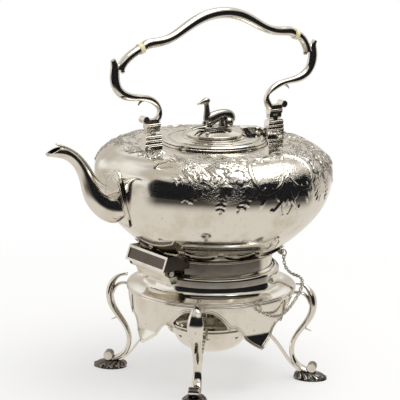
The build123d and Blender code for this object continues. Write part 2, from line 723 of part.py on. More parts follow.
centre_knuckle_l = 5.4
side_knuckle_l = 4.4
swing_gap = swing_knuckle_r + free_gap + 0.3
socket_leaves, swing_pin_pair, insulator_pair = [], [], []
for end in side:
    middle = mirrored(socket_r, end)
    lower = reeded_block(end, bowl_top_z - 3, swing_z - swing_gap, 3)
    with BuildPart() as socket:
        add(lower)
        with Locations((middle, 0, swing_z)):
            Cylinder(swing_knuckle_r, centre_knuckle_l, rotation=(0, 90, 0))
        with Locations((middle, 0, swing_z - swing_gap / 2)):
            Box(centre_knuckle_l, 2 * swing_knuckle_r, swing_gap)
        add(bowl_outside, mode=Mode.SUBTRACT)
        with Locations((middle, 0, swing_z)):
            Cylinder(swing_pin_r, 30, rotation=(0, 90, 0), mode=Mode.SUBTRACT)
    save(socket, f"socket_{end}")

    with BuildPart() as socket_leaf:
        with BuildSketch(Plane.XY.offset(bowl_top_z - 12)):
            with Locations((mirrored(socket_r + 7.5, end), 0)):
                Ellipse(19, 12.5)
        extrude(amount=12 + gallery_t)
        add(bowl_body(-gallery_t), mode=Mode.INTERSECT)
        add(bowl_outside, mode=Mode.SUBTRACT)
        add(socket.part, mode=Mode.SUBTRACT)
        with BuildSketch(Plane.XY.offset(bowl_top_z - 12)):
            Circle(lid_r + 9)
        extrude(amount=30, mode=Mode.SUBTRACT)
    socket_leaves.append(socket_leaf.part)

    with BuildPart() as swing_pin:
        with Locations((middle, 0, swing_z)):
            Cylinder(swing_pin_r, centre_knuckle_l + 2 * side_knuckle_l + free_gap, rotation=(0, 90, 0))
    swing_pin_pair.append(swing_pin.part)

    upper = reeded_block(end, swing_z + swing_gap, block_top_z, 1)
    reach = bail_reach[end] - socket_r
    with BuildLine(Plane.XZ) as scroll_line:
        places = ((1.0, 321), (0.95, 311.5), (0.945, 302), (0.85, 292), (0.66, 286), (0.4, 283.6),
                  (0.17, 282), (-0.04, 278), (-0.17, 270.5), (-0.17, 264.3), (-0.1, block_top_z + 1.0))
        Spline([(mirrored(socket_r + share * reach, end), z) for share, z in places])
    scroll_rod = oval_rod(scroll_line.line, ((0, 5.4, 4.6), (0.07, 8, 6.4), (0.2, 10, 7.6), (0.34, 9, 7.6),
                                             (0.5, 7, 7), (0.65, 6, 6.6), (0.8, 5.6, 6.4), (1, 6.4, 7)))
    with BuildLine(Plane.XZ) as spur_line:
        Spline([(mirrored(socket_r + share * reach, end), z)
                for share, z in ((0.12, 281), (0.28, 279.8), (0.36, 276.0))])
    spur_rod = oval_rod(spur_line.line, ((0, 3.6, 4), (0.6, 2.8, 3.4), (1, 1.2, 1.6)))
    with BuildPart() as swing_block:
        add(upper)
        outer_knuckle = (centre_knuckle_l + side_knuckle_l + free_gap) / 2
        with Locations([(middle + hand * outer_knuckle, 0, swing_z) for hand in (1, -1)]):
            Cylinder(swing_knuckle_r, side_knuckle_l, rotation=(0, 90, 0))
        with Locations([(middle + hand * outer_knuckle, 0, swing_z + swing_gap / 2) for hand in (1, -1)]):
            Box(side_knuckle_l, 2 * swing_knuckle_r, swing_gap)
        with Locations((middle, 0, swing_z)):
            Cylinder(swing_pin_r + running_gap, 30, rotation=(0, 90, 0), mode=Mode.SUBTRACT)
    save(swing_block, f"swing_block_{end}")

    ferrule_top = Vector(mirrored(ferrule_r[end], end), 0, 328.6)
    ferrule_low = Vector(mirrored(socket_r + 0.82 * reach, end), 0, 311)
    with BuildLine() as ferrule_line:
        bend = ferrule_top + (ferrule_low - ferrule_top) * 0.45 + Vector(side[end] * 1.6, 0, 1.8)
        Spline(ferrule_top, bend, ferrule_low, tangents=((side[end], 0, -0.35), (side[end] * 0.3, 0, -1)))
    ferrule_rod = oval_rod(ferrule_line.line, ((0, grip_end_d, grip_end_d), (0.3, 8.4, 8.4), (0.65, 8.6, 8.4),
                                               (1, 9.6, 7.6)))
    with BuildPart() as scroll:
        add(scroll_rod)
        add(spur_rod)
        with Locations((mirrored(socket_r + 0.2 * reach, end), 0, block_top_z + 3.4)):
            Cylinder(3.4, 8.4, rotation=(90, 0, 0))
        with Locations((mirrored(socket_r + 0.04 * reach, end), 0, block_top_z + 1.6)):
            Box(12, 7, 3.2)
        add(swing_block.part, mode=Mode.SUBTRACT)
        add(ferrule_rod, mode=Mode.SUBTRACT)
    save(scroll, f"scroll_{end}")

    with BuildPart() as ferrule:
        add(ferrule_rod)
        with Locations(ferrule_low - Vector(side[end] * 3.0, 0, 1.2)):
            Sphere(2.4)
        add(scroll.part, mode=Mode.SUBTRACT)
    save(ferrule, f"ferrule_{end}")

    with BuildPart() as insulator:
        with BuildSketch(Plane(ferrule_top, x_dir=(0, 1, 0), z_dir=ferrule_line.line % 0)):
            Circle(grip_end_d / 2 + 0.9)
        extrude(amount=-insulator_l)
    insulator_pair.append(insulator.part)

for pair_name, pair in (("socket_leaves", socket_leaves), ("swing_pins", swing_pin_pair),
                        ("insulators", insulator_pair)):
    with BuildPart() as both_ends:
        add(pair)
    save(both_ends, pair_name)

# grip: a cupid's-bow tube between the insulators
front_face = Plane((ferrule_r["front"], 0, 328.6), z_dir=(1, 0, -0.35))
rear_face = Plane((-ferrule_r["rear"], 0, 328.6), z_dir=(-1, 0, -0.35))
grip_front = front_face.origin - front_face.z_dir * insulator_l
grip_rear = rear_face.origin - rear_face.z_dir * insulator_l
grip_mid_x = (grip_front.X + grip_rear.X) / 2
grip_half = (grip_front.X - grip_rear.X) / 2
grip_shape = ((0.86, 1.9), (0.7, 4.6), (0.55, 9.6), (0.4, 16.2), (0.22, 22.8), (0, grip_rise))
with BuildLine(Plane.XZ) as grip_line:
    rising = [(grip_mid_x + share * grip_half, grip_end_z + lift) for share, lift in grip_shape]
    falling = [(grip_mid_x - share * grip_half, grip_end_z + lift)
               for share, lift in reversed(grip_shape[:-1])]
    Spline([(grip_front.X, grip_front.Z)] + rising + falling + [(grip_rear.X, grip_rear.Z)],
           tangents=((-1, 0.35), (-1, -0.35)))
grip_rod = oval_rod(grip_line.line, ((0, grip_end_d, grip_end_d), (0.1, 8.8, 8.6), (0.25, 9.6, 9.2),
                                     (0.4, grip_mid_d, 10), (0.5, grip_mid_d, 10.2), (0.6, grip_mid_d, 10),
                                     (0.75, 9.6, 9.2), (0.9, 8.8, 8.6), (1, grip_end_d, grip_end_d)))
with BuildPart() as handle_grip:
    add(grip_rod)
save(handle_grip, "handle_grip")

# ========================================================================= LID
plug_r = lid_bore_r - lid_plug_gap
with BuildPart() as lid_cover:
    with BuildSketch(Plane.XZ):
        with BuildLine():
            Line((lid_r - 0.8, lid_z), (lid_r, lid_z + 0.9))
            RadiusArc((lid_r, lid_z + 0.9), (lid_r - 2.6, lid_z + lid_rim_h), -2.4)
            Spline((lid_r - 2.6, lid_z + lid_rim_h), (lid_r - 12, lid_z + lid_rim_h + 0.7),
                   (button_r - 2, lid_crown_z),
                   tangents=((-1, 0), (-1, 0.5)))
            Polyline((button_r - 2, lid_crown_z), (0, lid_crown_z), (0, lid_crown_z - wall),
                     (button_r - 2.6, lid_crown_z - wall))
            Polyline((button_r - 2.6, lid_crown_z - wall), (plug_r - wall, lid_z + 0.8),
                     (plug_r - wall, lid_z - 4.5), (plug_r, lid_z - 4.5), (plug_r, lid_z),
                     (lid_r - 0.8, lid_z))
        make_face()
    revolve(axis=Axis.Z)
save(lid_cover, "lid_cover")

button_top_z = lid_crown_z + button_h
with BuildPart() as lid_button:
    with BuildSketch(Plane.XZ):
        with BuildLine():
            Polyline((0, button_top_z), (0, lid_crown_z), (button_r - 2, lid_crown_z))
            RadiusArc((button_r - 2, lid_crown_z), (button_r - 1.2, lid_crown_z + button_rim_h), -1.25)
            Spline((button_r - 1.2, lid_crown_z + button_rim_h), (button_r * 0.5, button_top_z - 0.9),
                   (0, button_top_z), tangents=((-1, 0.35), (-1, 0)))
        make_face()
    revolve(axis=Axis.Z)
save(lid_button, "lid_button")

# lid hinge, lid half: a leaf on the lid that ends in the middle knuckle
with BuildPart() as lid_leaf:
    with BuildSketch(Plane.XZ):
        with BuildLine():
            Polyline((-33, lid_z + 3.4), (-33, lid_z + 8.6), (-38, lid_z + 9.6),
                     (lid_hinge_x + 1, lid_hinge_z + lid_knuckle_r),
                     (lid_hinge_x, lid_hinge_z), (lid_hinge_x + 3.4, lid_hinge_z - 1.6),
                     (1 - lid_r, lid_z + 2.0),
                     (-44, lid_z + 2.2), close=True)
        make_face()
        with Locations((lid_hinge_x, lid_hinge_z)):
            Circle(lid_knuckle_r)
    extrude(amount=10, both=True)
    with BuildSketch(Plane.XY.offset(lid_z - 2)):
        with Locations((-43, 0)):
            Ellipse(10.5, 6.5)
        with Locations((-52, 0)):
            Rectangle(14, leaf_knuckle_l)
    extrude(amount=20, mode=Mode.INTERSECT)
    add(lid_cover.part, mode=Mode.SUBTRACT)
    with Locations((lid_hinge_x, 0, lid_hinge_z)):
        Cylinder(lid_pin_r + running_gap, 30, rotation=(90, 0, 0), mode=Mode.SUBTRACT)
save(lid_leaf, "lid_leaf")

# couchant hound on the button, facing the spout
hound_z = button_top_z - 0.6
with BuildLine(Plane.XZ) as hound_back:
    Spline((-21.0, hound_z + 4.6), (-18.0, hound_z + 9.6), (-9, hound_z + 12.6), (1.5, hound_z + 10.2),
           (9.6, hound_z + 8.6))
with BuildLine(Plane.XZ) as hound_neck:
    Spline((8.0, hound_z + 9.6), (8.8, hound_z + 16), (9.2, hound_z + 21.5), (10.2, hound_z + 26.4))
with BuildLine(Plane.XZ) as hound_head:
    Spline((6.2, hound_z + 27.2), (10.5, hound_z + 27.6), (15.5, hound_z + 26.4), (20.6, hound_z + 25.6))
with BuildLine(Plane.XZ) as hound_leg:
    Spline((8.4, hound_z + 7.4), (9.6, hound_z + 3.6), (15, hound_z + 2.0), (27.6, hound_z + 1.5))
body_rod = oval_rod(hound_back.line, ((0, 7, 5), (0.2, 12, 10), (0.45, 10.4, 9), (0.75, 12.4, 9.6),
                                      (1, 12.6, 8)))
neck_rod = oval_rod(hound_neck.line, ((0, 9, 7), (0.4, 6.6, 5.4), (0.75, 5.2, 4.6), (1, 5.4, 4.8)))
head_rod = oval_rod(hound_head.line, ((0, 3, 3), (0.3, 6.2, 5.6), (0.6, 4, 3.6), (1, 1.8, 1.8)))
leg_rod = oval_rod(hound_leg.line, ((0, 6, 4), (0.35, 4.4, 3.4), (0.7, 3, 2.8), (1, 2.6, 3)))
with BuildPart() as finial_hound:
    add(body_rod)
    add(neck_rod)
    add(head_rod)
    for hand in (1, -1):
        with Locations((0, hand * 3, 0)):
            add(leg_rod)
        with Locations((-14, hand * 4.4, hound_z + 5.4)):
            Sphere(4.8)
    with BuildSketch(Plane.XY.offset(hound_z)):
        with Locations((-2, 0)):
            Ellipse(20, 8)
    extrude(amount=2.4)
    add(lid_button.part, mode=Mode.SUBTRACT)
    with BuildSketch(Plane.XY.offset(button_top_z - 30)):
        Rectangle(120, 60)
    extrude(amount=29.6, mode=Mode.SUBTRACT)
save(finial_hound, "finial_hound")

with BuildPart() as finial_nut:
    with BuildSketch(Plane.XY.offset(lid_crown_z - wall - 3)):
        RegularPolygon(4.5, 6)
    extrude(amount=3)
save(finial_nut, "finial_nut")

# ======================================================================== LAMP
with BuildPart() as lamp_bowl:
    with BuildSketch(Plane.XZ):
        with BuildLine():
            outer = Spline((0, lamp_bottom_z), (lamp_r * 0.62, lamp_bottom_z + 2.4),
                           (lamp_r, lamp_ring_z - 6),
                           tangents=((1, 0), (0.12, 1)))
            Polyline((lamp_r, lamp_ring_z - 6), (lamp_r, lamp_ring_z), (lamp_flange_r, lamp_ring_z),
                     (lamp_flange_r, lamp_ring_z + lamp_flange_t),
                     (lamp_r - wall, lamp_ring_z + lamp_flange_t),
                     (lamp_r - wall, lamp_ring_z - 6))
            Spline((lamp_r - wall, lamp_ring_z - 6), (lamp_r * 0.62 - 0.8, lamp_bottom_z + 2.4 + wall),
                   (0, lamp_bottom_z + wall), tangents=((-0.12, -1), (-1, 0)))
            Line((0, lamp_bottom_z + wall), (0, lamp_bottom_z))
        make_face()
    revolve(axis=Axis.Z)
save(lamp_bowl, "lamp_bowl")

lamp_top_z = lamp_ring_z + lamp_flange_t
with BuildPart() as lamp_top:
    with BuildSketch(Plane.XZ):
        with BuildLine():
            Line((lamp_r - 1, lamp_top_z), (lamp_r - 1, lamp_top_z + 1.2))
            Spline((lamp_r - 1, lamp_top_z + 1.2), (burner_r + 6, lamp_top_z + 4.4),
                   (burner_r + 1, lamp_top_z + 5.2),
                   tangents=((-1, 0.35), (-1, 0.05)))
            Line((burner_r + 1, lamp_top_z + 5.2), (burner_r + 1, lamp_top_z + 4.0))
            Line((burner_r + 1, lamp_top_z + 4.0), (lamp_r - 3, lamp_top_z))
            Line((lamp_r - 3, lamp_top_z), (lamp_r - 1, lamp_top_z))
        make_face()
    revolve(axis=Axis.Z)
save(lamp_top, "lamp_top")

burner_z = lamp_top_z + 4.0
with BuildPart() as burner:
    with BuildSketch(Plane.XY.offset(burner_z - 6)):
        Circle(burner_r + 1)
        Circle(wick_r + 0.2, mode=Mode.SUBTRACT)
    extrude(amount=6)
    with BuildSketch(Plane.XY.offset(burner_z)):
        Circle(burner_r + 1)
        Circle(wick_r + 0.2, mode=Mode.SUBTRACT)
    extrude(amount=1.2)
    with BuildSketch(Plane.XY.offset(burner_z + 1.2)):
        Circle(wick_r + 1.4)
        Circle(wick_r + 0.2, mode=Mode.SUBTRACT)
    extrude(amount=burner_h)
save(burner, "burner")

with BuildPart() as wick:
    with BuildSketch(Plane.XY.offset(lamp_bottom_z + 6)):
        Circle(wick_r)
    extrude(amount=burner_z + 1.2 + burner_h + wick_rise - lamp_bottom_z - 6)
save(wick, "wick")

# ======================================================================= CHAIN
# The chain keeps the locking pin: its first link hangs in the stud's ring and its
# last one in the pin's ring.
link_reach = link_l / 2 - link_wire / 2          # from a link's middle to its end wire
stud_ring_hold = stud_ring_r - stud_ring_wire - link_wire / 2 - link_gap
pin_ring_hold = lock_eye_r - 2 * pin_ring_wire - link_wire / 2 - link_gap
chain_start = facing(stud_angle, girdle_r + stud_ring_out, stud_ring_z - stud_ring_hold - link_reach
                     + link_pitch / 2).origin
chain_end = Vector(lock_x, pin_ring_y, lock_z - pin_ring_hold - link_reach + link_pitch / 2)
# (angle, radius, height) along the way: a swag below the girdle, then over the leg
chain_route = ((86.9, 85.7, 84), (91.5, 85.2, 78.8), (99, 84.6, 75.4), (108, 84.4, 74.8), (117, 85.6, 80),
               (125, 88.8, 89.2), (131.5, 90, 96.9), (138, 87.4, 100.2), (145, 82.6, 99.9),
               (151.6, 78.2, 100.4), (157.2, 75.4, 104), (159.8, 74.5, 108.8))
with BuildLine() as chain_line:
    waypoints = [Vector(r * cos(radians(a)), r * sin(radians(a)), z) for a, r, z in chain_route]
    chain_path = Spline(chain_start, *waypoints, chain_end)
with BuildPart() as link_blank:
    with BuildSketch(Plane.XY.offset(-link_wire / 2)):
        SlotOverall(link_l, link_w)
        SlotOverall(link_l - 2 * link_wire, link_w - 2 * link_wire, mode=Mode.SUBTRACT)
    extrude(amount=link_wire)
link_count = 2 * int(chain_path.length / link_pitch / 2)
with BuildPart() as pin_chain:
    for n in range(link_count):
        share = (n + 0.5) / link_count
        place, run = chain_path @ share, chain_path % share
        across = run.cross(Vector(place.X, place.Y, 0))
        link_faces = across if n % 2 else across.cross(run)
        with Locations(Plane(place, x_dir=run, z_dir=link_faces)):
            add(link_blank.part)
save(pin_chain, "pin_chain")
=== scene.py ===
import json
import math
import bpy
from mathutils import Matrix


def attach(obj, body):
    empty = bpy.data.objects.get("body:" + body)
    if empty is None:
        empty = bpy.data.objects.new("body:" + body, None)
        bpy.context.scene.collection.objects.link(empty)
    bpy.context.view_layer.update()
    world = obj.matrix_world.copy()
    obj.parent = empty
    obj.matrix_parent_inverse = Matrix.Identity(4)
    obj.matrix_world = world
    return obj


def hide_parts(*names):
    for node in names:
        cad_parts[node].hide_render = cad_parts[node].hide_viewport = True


bl_info = {
    "name": "Spirit Kettle Dresser",
    "version": (1, 0, 0),
    "blender": (4, 5, 0),
    "location": "View3D > Sidebar > Kettle",
    "description": "Dresses a silver-plated spirit kettle on its stand and sets it in a studio",
    "category": "Add Mesh",
}

import bmesh
import bpy
import numpy as np
from mathutils import Matrix, Vector, geometry

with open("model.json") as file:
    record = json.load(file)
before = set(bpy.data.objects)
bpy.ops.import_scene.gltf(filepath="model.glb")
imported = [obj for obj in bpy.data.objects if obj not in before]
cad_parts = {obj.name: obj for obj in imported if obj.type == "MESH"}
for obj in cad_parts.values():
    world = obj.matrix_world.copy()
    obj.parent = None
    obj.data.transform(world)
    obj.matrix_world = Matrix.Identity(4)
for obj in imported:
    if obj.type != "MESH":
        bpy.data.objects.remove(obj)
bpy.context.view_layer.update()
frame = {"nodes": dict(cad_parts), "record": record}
MM = 0.001
# sockets of Map Range and Mix nodes, by place because their data types share names
VALUE, FROM_LOW, FROM_HIGH, TO_LOW, TO_HIGH = range(5)
FACTOR, COLOUR_A, COLOUR_B = 0, 6, 7
MIXED = 2


# ------------------------------------------------------------------ small tools
def linear(hex_colour):
    """Linear RGBA of an sRGB hex colour."""
    parts = [int(hex_colour[i:i + 2], 16) / 255 for i in (0, 2, 4)]
    return [c / 12.92 if c <= 0.04045 else ((c + 0.055) / 1.055) ** 2.4 for c in parts] + [1.0]


def add(tree, kind, inputs=None, **settings):
    """Add a node to a tree with its settings; an input is a value or another node's output."""
    made = tree.nodes.new(kind)
    for name, value in settings.items():
        setattr(made, name, value)
    for name, value in (inputs or {}).items():
        if isinstance(value, bpy.types.NodeSocket):
            tree.links.new(value, made.inputs[name])
        else:
            made.inputs[name].default_value = value
    return made


def new_material(name):
    """An empty node material and its tree."""
    material = bpy.data.materials.new(name)
    material.use_nodes = True
    material.node_tree.nodes.clear()
    return material, material.node_tree


def dress(node, material):
    """Give a CAD node's object a material."""
    target = frame["nodes"][node]
    target.data.materials.clear()
    target.data.materials.append(material)


def finish_piece(name, bm, material, body, stands_for=()):
    """Turn a bmesh into a smooth piece that rides on a body."""
    mesh = bpy.data.meshes.new(name)
    bm.to_mesh(mesh)
    bm.free()
    mesh.shade_smooth()
    mesh.materials.append(material)
    piece = bpy.data.objects.new(name, mesh)
    bpy.context.scene.collection.objects.link(piece)
    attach(piece, body)
    if stands_for:
        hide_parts(*stands_for)
    return piece


def wire(bm, path, radii, sides=10):
    """Sweep a round wire through points, its radius following radii, both in mm."""
    path = [Vector(p) for p in path]
    ring = bmesh.ops.create_circle(bm, cap_ends=True, segments=sides, radius=1)["verts"]
    spokes = [v.co.copy() for v in ring]
    edges = list({e for v in ring for e in v.link_edges})
    for n, centre in enumerate(path):
        if n:
            grown = bmesh.ops.extrude_edge_only(bm, edges=edges)["geom"]
            ring = [g for g in grown if isinstance(g, bmesh.types.BMVert)]
            edges = [g for g in grown if isinstance(g, bmesh.types.BMEdge)]
        along = (path[min(n + 1, len(path) - 1)] - path[max(n - 1, 0)]).normalized()
        turn = along.to_track_quat("Z", "Y").to_matrix()
        radius = radii[n] if hasattr(radii, "__len__") else radii
        for v, spoke in zip(ring, spokes):
            v.co = (centre + turn @ spoke * radius) * MM
    bmesh.ops.holes_fill(bm, edges=edges, sides=sides)


def hoop(bm, radius, z, thick, section=8, steps=160):
    """A ring of round section about the kettle's axis, in mm."""
    made = bmesh.ops.create_circle(bm, segments=section, radius=thick * MM,
                                   matrix=Matrix.Translation(Vector((radius, 0, z)) * MM)
                                   @ Matrix.Rotation(math.pi / 2, 4, "X"))["verts"]
    edges = list({e for v in made for e in v.link_edges})
    bmesh.ops.spin(bm, geom=list(made) + edges, cent=(0, 0, 0), axis=(0, 0, 1), angle=math.tau,
                   steps=steps,
                   use_merge=True, dvec=(0, 0, 0), use_duplicate=False)


def taper(count, thick, tip=0.25):
    """Radii of a wire that swells in its middle."""
    return [thick * (tip + (1 - tip) * math.sin(math.pi * (n + 0.5) / count) ** 0.7)
            for n in range(count)]


def turned_radius(outline, z):
    """Radius in mm of an outline of cubic pieces at a height."""
    points = [p for piece in outline for p in
              geometry.interpolate_bezier(*[Vector((r, 0, h)) for r, h in piece], 40)]
    heights, radii = zip(*sorted((p.z, p.x) for p in points))
    return float(np.interp(z, heights, radii))


# --------------------------------------------------- sizes that are not settings
CAMERA_PLACE = (1184.2, 1574.5, 629.3)      # mm
CAMERA_AIM = (9.91, -7.36, 174.13)
CAMERA_ROLL = 1.0                           # degrees
CAMERA_LENS = 187.8                         # mm, on a sensor 36 mm wide
FLOOR_RADIUS = 0.62                         # m
ROOM_WAY = (0.2419, 0.9703, 0)              # towards the middle of the dark room
# the bowl's outline as cubic pieces, radius and height in mm, from its base to the lid's ring
BOWL_OUTLINE = (((61.5, 128), (75.06, 138.17), (87.78, 148.26), (97.9, 160)),
                ((97.9, 160), (107.99, 171.71), (115.5, 185.06), (115.5, 205)),
                ((115.5, 205), (115.5, 215.25), (110.33, 220.7), (105.5, 224.4)),
                ((105.5, 224.4), (93.75, 233.38), (83.97, 232), (53, 232)))
BOWL_ROWS = (10, 60, 44, 96)                # points along each piece of the outline
LID_EDGE = (46, 232)                        # radius and height of the sheet's edge under the lid
# the sheet's inside, from the lid down; the chased sides hold its points up to INSIDE_SPLIT
INSIDE_SPLIT = 5
BOWL_INSIDE = ((46, 230.5), (80, 230), (104, 223), (112.5, 212), (114, 203), (112, 188), (104, 170),
               (88, 151.5), (62, 129.7), (0, 129.7))
# the apron's skin, and the two curves of its cut edge beside a pendant (across, height)
APRON_OUTLINE = (((80.2, 87.2), (79.91, 81.46), (79.56, 76.02), (78.6, 70.6)),
                 ((78.6, 70.6), (77.87, 66.48), (76.79, 62.37), (77.2, 58.0)),
                 ((77.2, 58.0), (77.71, 52.62), (80.49, 46.84), (83.0, 43.5)))
APRON_EDGE = (((51.59, 83.4), (46.53, 83.4), (43.83, 80.93), (41.09, 78.4)),
              ((41.09, 78.4), (37.14, 74.75), (33.12, 70.96), (31.03, 65.0)),
              ((31.03, 65.0), (30.6, 66.43), (29.29, 66.8), (28.03, 66.8)),
              ((28.03, 66.8), (21.91, 66.82), (17.11, 58.28), (15.52, 55.25)),
              ((15.52, 55.25), (12.5, 51.4), (7.5, 48.5), (0.0, 43.5)))
# rings on the lid: radius, height and thickness
LID_LINES = ((48.6, 234.3, 0.5), (47.9, 236.0, 0.55), (44.6, 236.75, 0.45), (43.0, 236.85, 0.35),
             (36.6, 237.2, 0.45), (31.0, 238.2, 0.5))
COLLAR_HALF = (15.5, 29)    # half the width and height of the spout's collar
COLLAR_Z = 189              # height of its middle
CHASED_FROM = 178.0    # the chased sheet starts at this height
BOWL_STEPS = 360       # faces round the plain sheet
CHASED_STEPS = 560     # and round half of the bowl for each chased side
BOWL_NODES = ("kettle_base", "kettle_flank", "kettle_belly", "kettle_shoulder", "kettle_crown",
              "socket_leaves")
SOCKET_R = 73.2        # from the axis to the middle of each handle socket
FOLIAGE_REACH = 32     # the leaves round a socket end within this of its middle
CROWN = (54, 215)      # they lie outside this radius and above this height
BOWL_REACH = 115.3     # nothing of the bowl stands out further
# the way the hinge box's face looks, and how far out along it the sunk face and its frame lie, m;
# everything short of the frame gets painted shade
PANEL_WAY = (0.9417, 0, 0.3363)
PANEL_DEPTH = (0.1158, 0.1161)
RELIEF_BED = 0.3       # how far the plain sheet lies below the CAD surface
FAR = 9.0              # a ratio that no form reaches


# -------------------------------------------------------------- chased ornament
def scroll(start, heading, length, bow, curl_in=0, curl_out=0, points=44):
    """Points of a scroll that turns by bow on its way and by a curl at each end, in degrees."""
    share = (np.arange(points - 1) + 0.5) / (points - 1)
    near_start = np.maximum(0, 1 - share / 0.34) ** 1.4
    near_end = np.maximum(0, (share - 0.66) / 0.34) ** 1.4
    turn = (bow / (points - 1) + curl_in * near_start / near_start.sum()
            + curl_out * near_end / near_end.sum())
    angle = np.radians(heading + np.cumsum(turn))
    tight = 1 - 0.55 * (near_start * bool(curl_in) + near_end * bool(curl_out))
    step = length / (points - 1) * tight
    path = np.cumsum(np.stack([np.cos(angle) * step, np.sin(angle) * step], -1), 0)
    return np.vstack([[0, 0], path]) + start


def stroke(field, path, width, rise, ends=0.3):
    """Raise a line along a path: widest in its middle, a share of that width at its ends."""
    at = field[0]
    lo, hi = path.min(0) - 2 * width, path.max(0) + 2 * width
    near = np.nonzero(((at > lo) & (at < hi)).all(1))[0]
    best = np.full(len(near), FAR)
    for n in range(len(path) - 1):
        along = path[n + 1] - path[n]
        share = (n + 0.5) / (len(path) - 1)
        w = width * (ends + (1 - ends) * math.sin(math.pi * share) ** 0.7)
        t = np.clip((at[near] - path[n]) @ along / (along @ along), 0, 1)
        gap = np.linalg.norm(at[near] - path[n] - t[:, None] * along, axis=1) / w
        best = np.minimum(best, gap)
    lift(field, near, best, rise)


def lift(field, near, ratio, rise, sharp=0.22):
    """Raise a dome where ratio, the distance from a form's middle by its half width, is under 1."""
    at, height, edge = field
    dome = rise * np.sqrt(np.maximum(0, 1 - ratio ** 2))
    height[near] = np.maximum(height[near], dome)
    edge[near] = np.where(ratio < 0.8, edge[near] * 0.35, edge[near])
    edge[near] = np.maximum(edge[near], np.exp(-((ratio - 1.05) / sharp) ** 2))


def leaf(field, root, heading, length, width, rise, bend=0.25):
    """Raise a bent leaf with a lobed edge and a sunk vein."""
    at, height, edge = field
    near = np.nonzero((np.abs(at - root) < length * 1.15).all(1))[0]
    c, s = math.cos(math.radians(heading)), math.sin(math.radians(heading))
    rel = at[near] - root
    u, v = (rel @ (c, s)) / length, rel @ (-s, c)
    v = v - bend * length * u * (u - 0.3)
    inside = (u > 0) & (u < 1)
    span = width / 2 * np.where(inside, np.sin(math.pi * np.clip(u, 0, 1) ** 0.75),
                                0) * (1 + 0.12 * np.cos(u * 34))
    ratio = np.where(span > 1e-6, np.abs(v) / np.maximum(span, 1e-6), FAR)
    lift(field, near, ratio, rise, 0.3)
    vein = near[(ratio < 0.9) & (np.abs(v) < 0.28)]
    height[vein] *= 0.55
    edge[vein] = np.maximum(edge[vein], 0.5)


def rosette(field, centre, radius, petals, rise):
    """Raise a flower of three rings of petals, each higher than the one round it."""
    at = field[0]
    near = np.nonzero((np.abs(at - centre) < radius * 1.3).all(1))[0]
    rel = at[near] - centre
    r, a = np.hypot(*rel.T), np.arctan2(rel[:, 1], rel[:, 0])
    for share, lobes, up in ((1, petals, 0.7), (0.64, petals - 1, 0.9), (0.3, 3, 1.1)):
        rim = radius * share * (1 + 0.13 * np.cos(lobes * a + 2 * share))
        lift(field, near, r / rim, rise * up, 0.16)


def fern(field, path, size, rise, count):
    """Raise a stem with pairs of leaves that get smaller towards its tip."""
    stroke(field, path, 0.7, rise * 0.6)
    for n in range(count):
        k = int((n + 0.5) / count * (len(path) - 2))
        run = path[k + 1] - path[k]
        heading = math.degrees(math.atan2(run[1], run[0]))
        for hand in (1, -1):
            scale = size * (1 - 0.45 * n / count)
            leaf(field, path[k], heading + hand * 52, scale, scale * 0.42, rise, hand * 0.2)


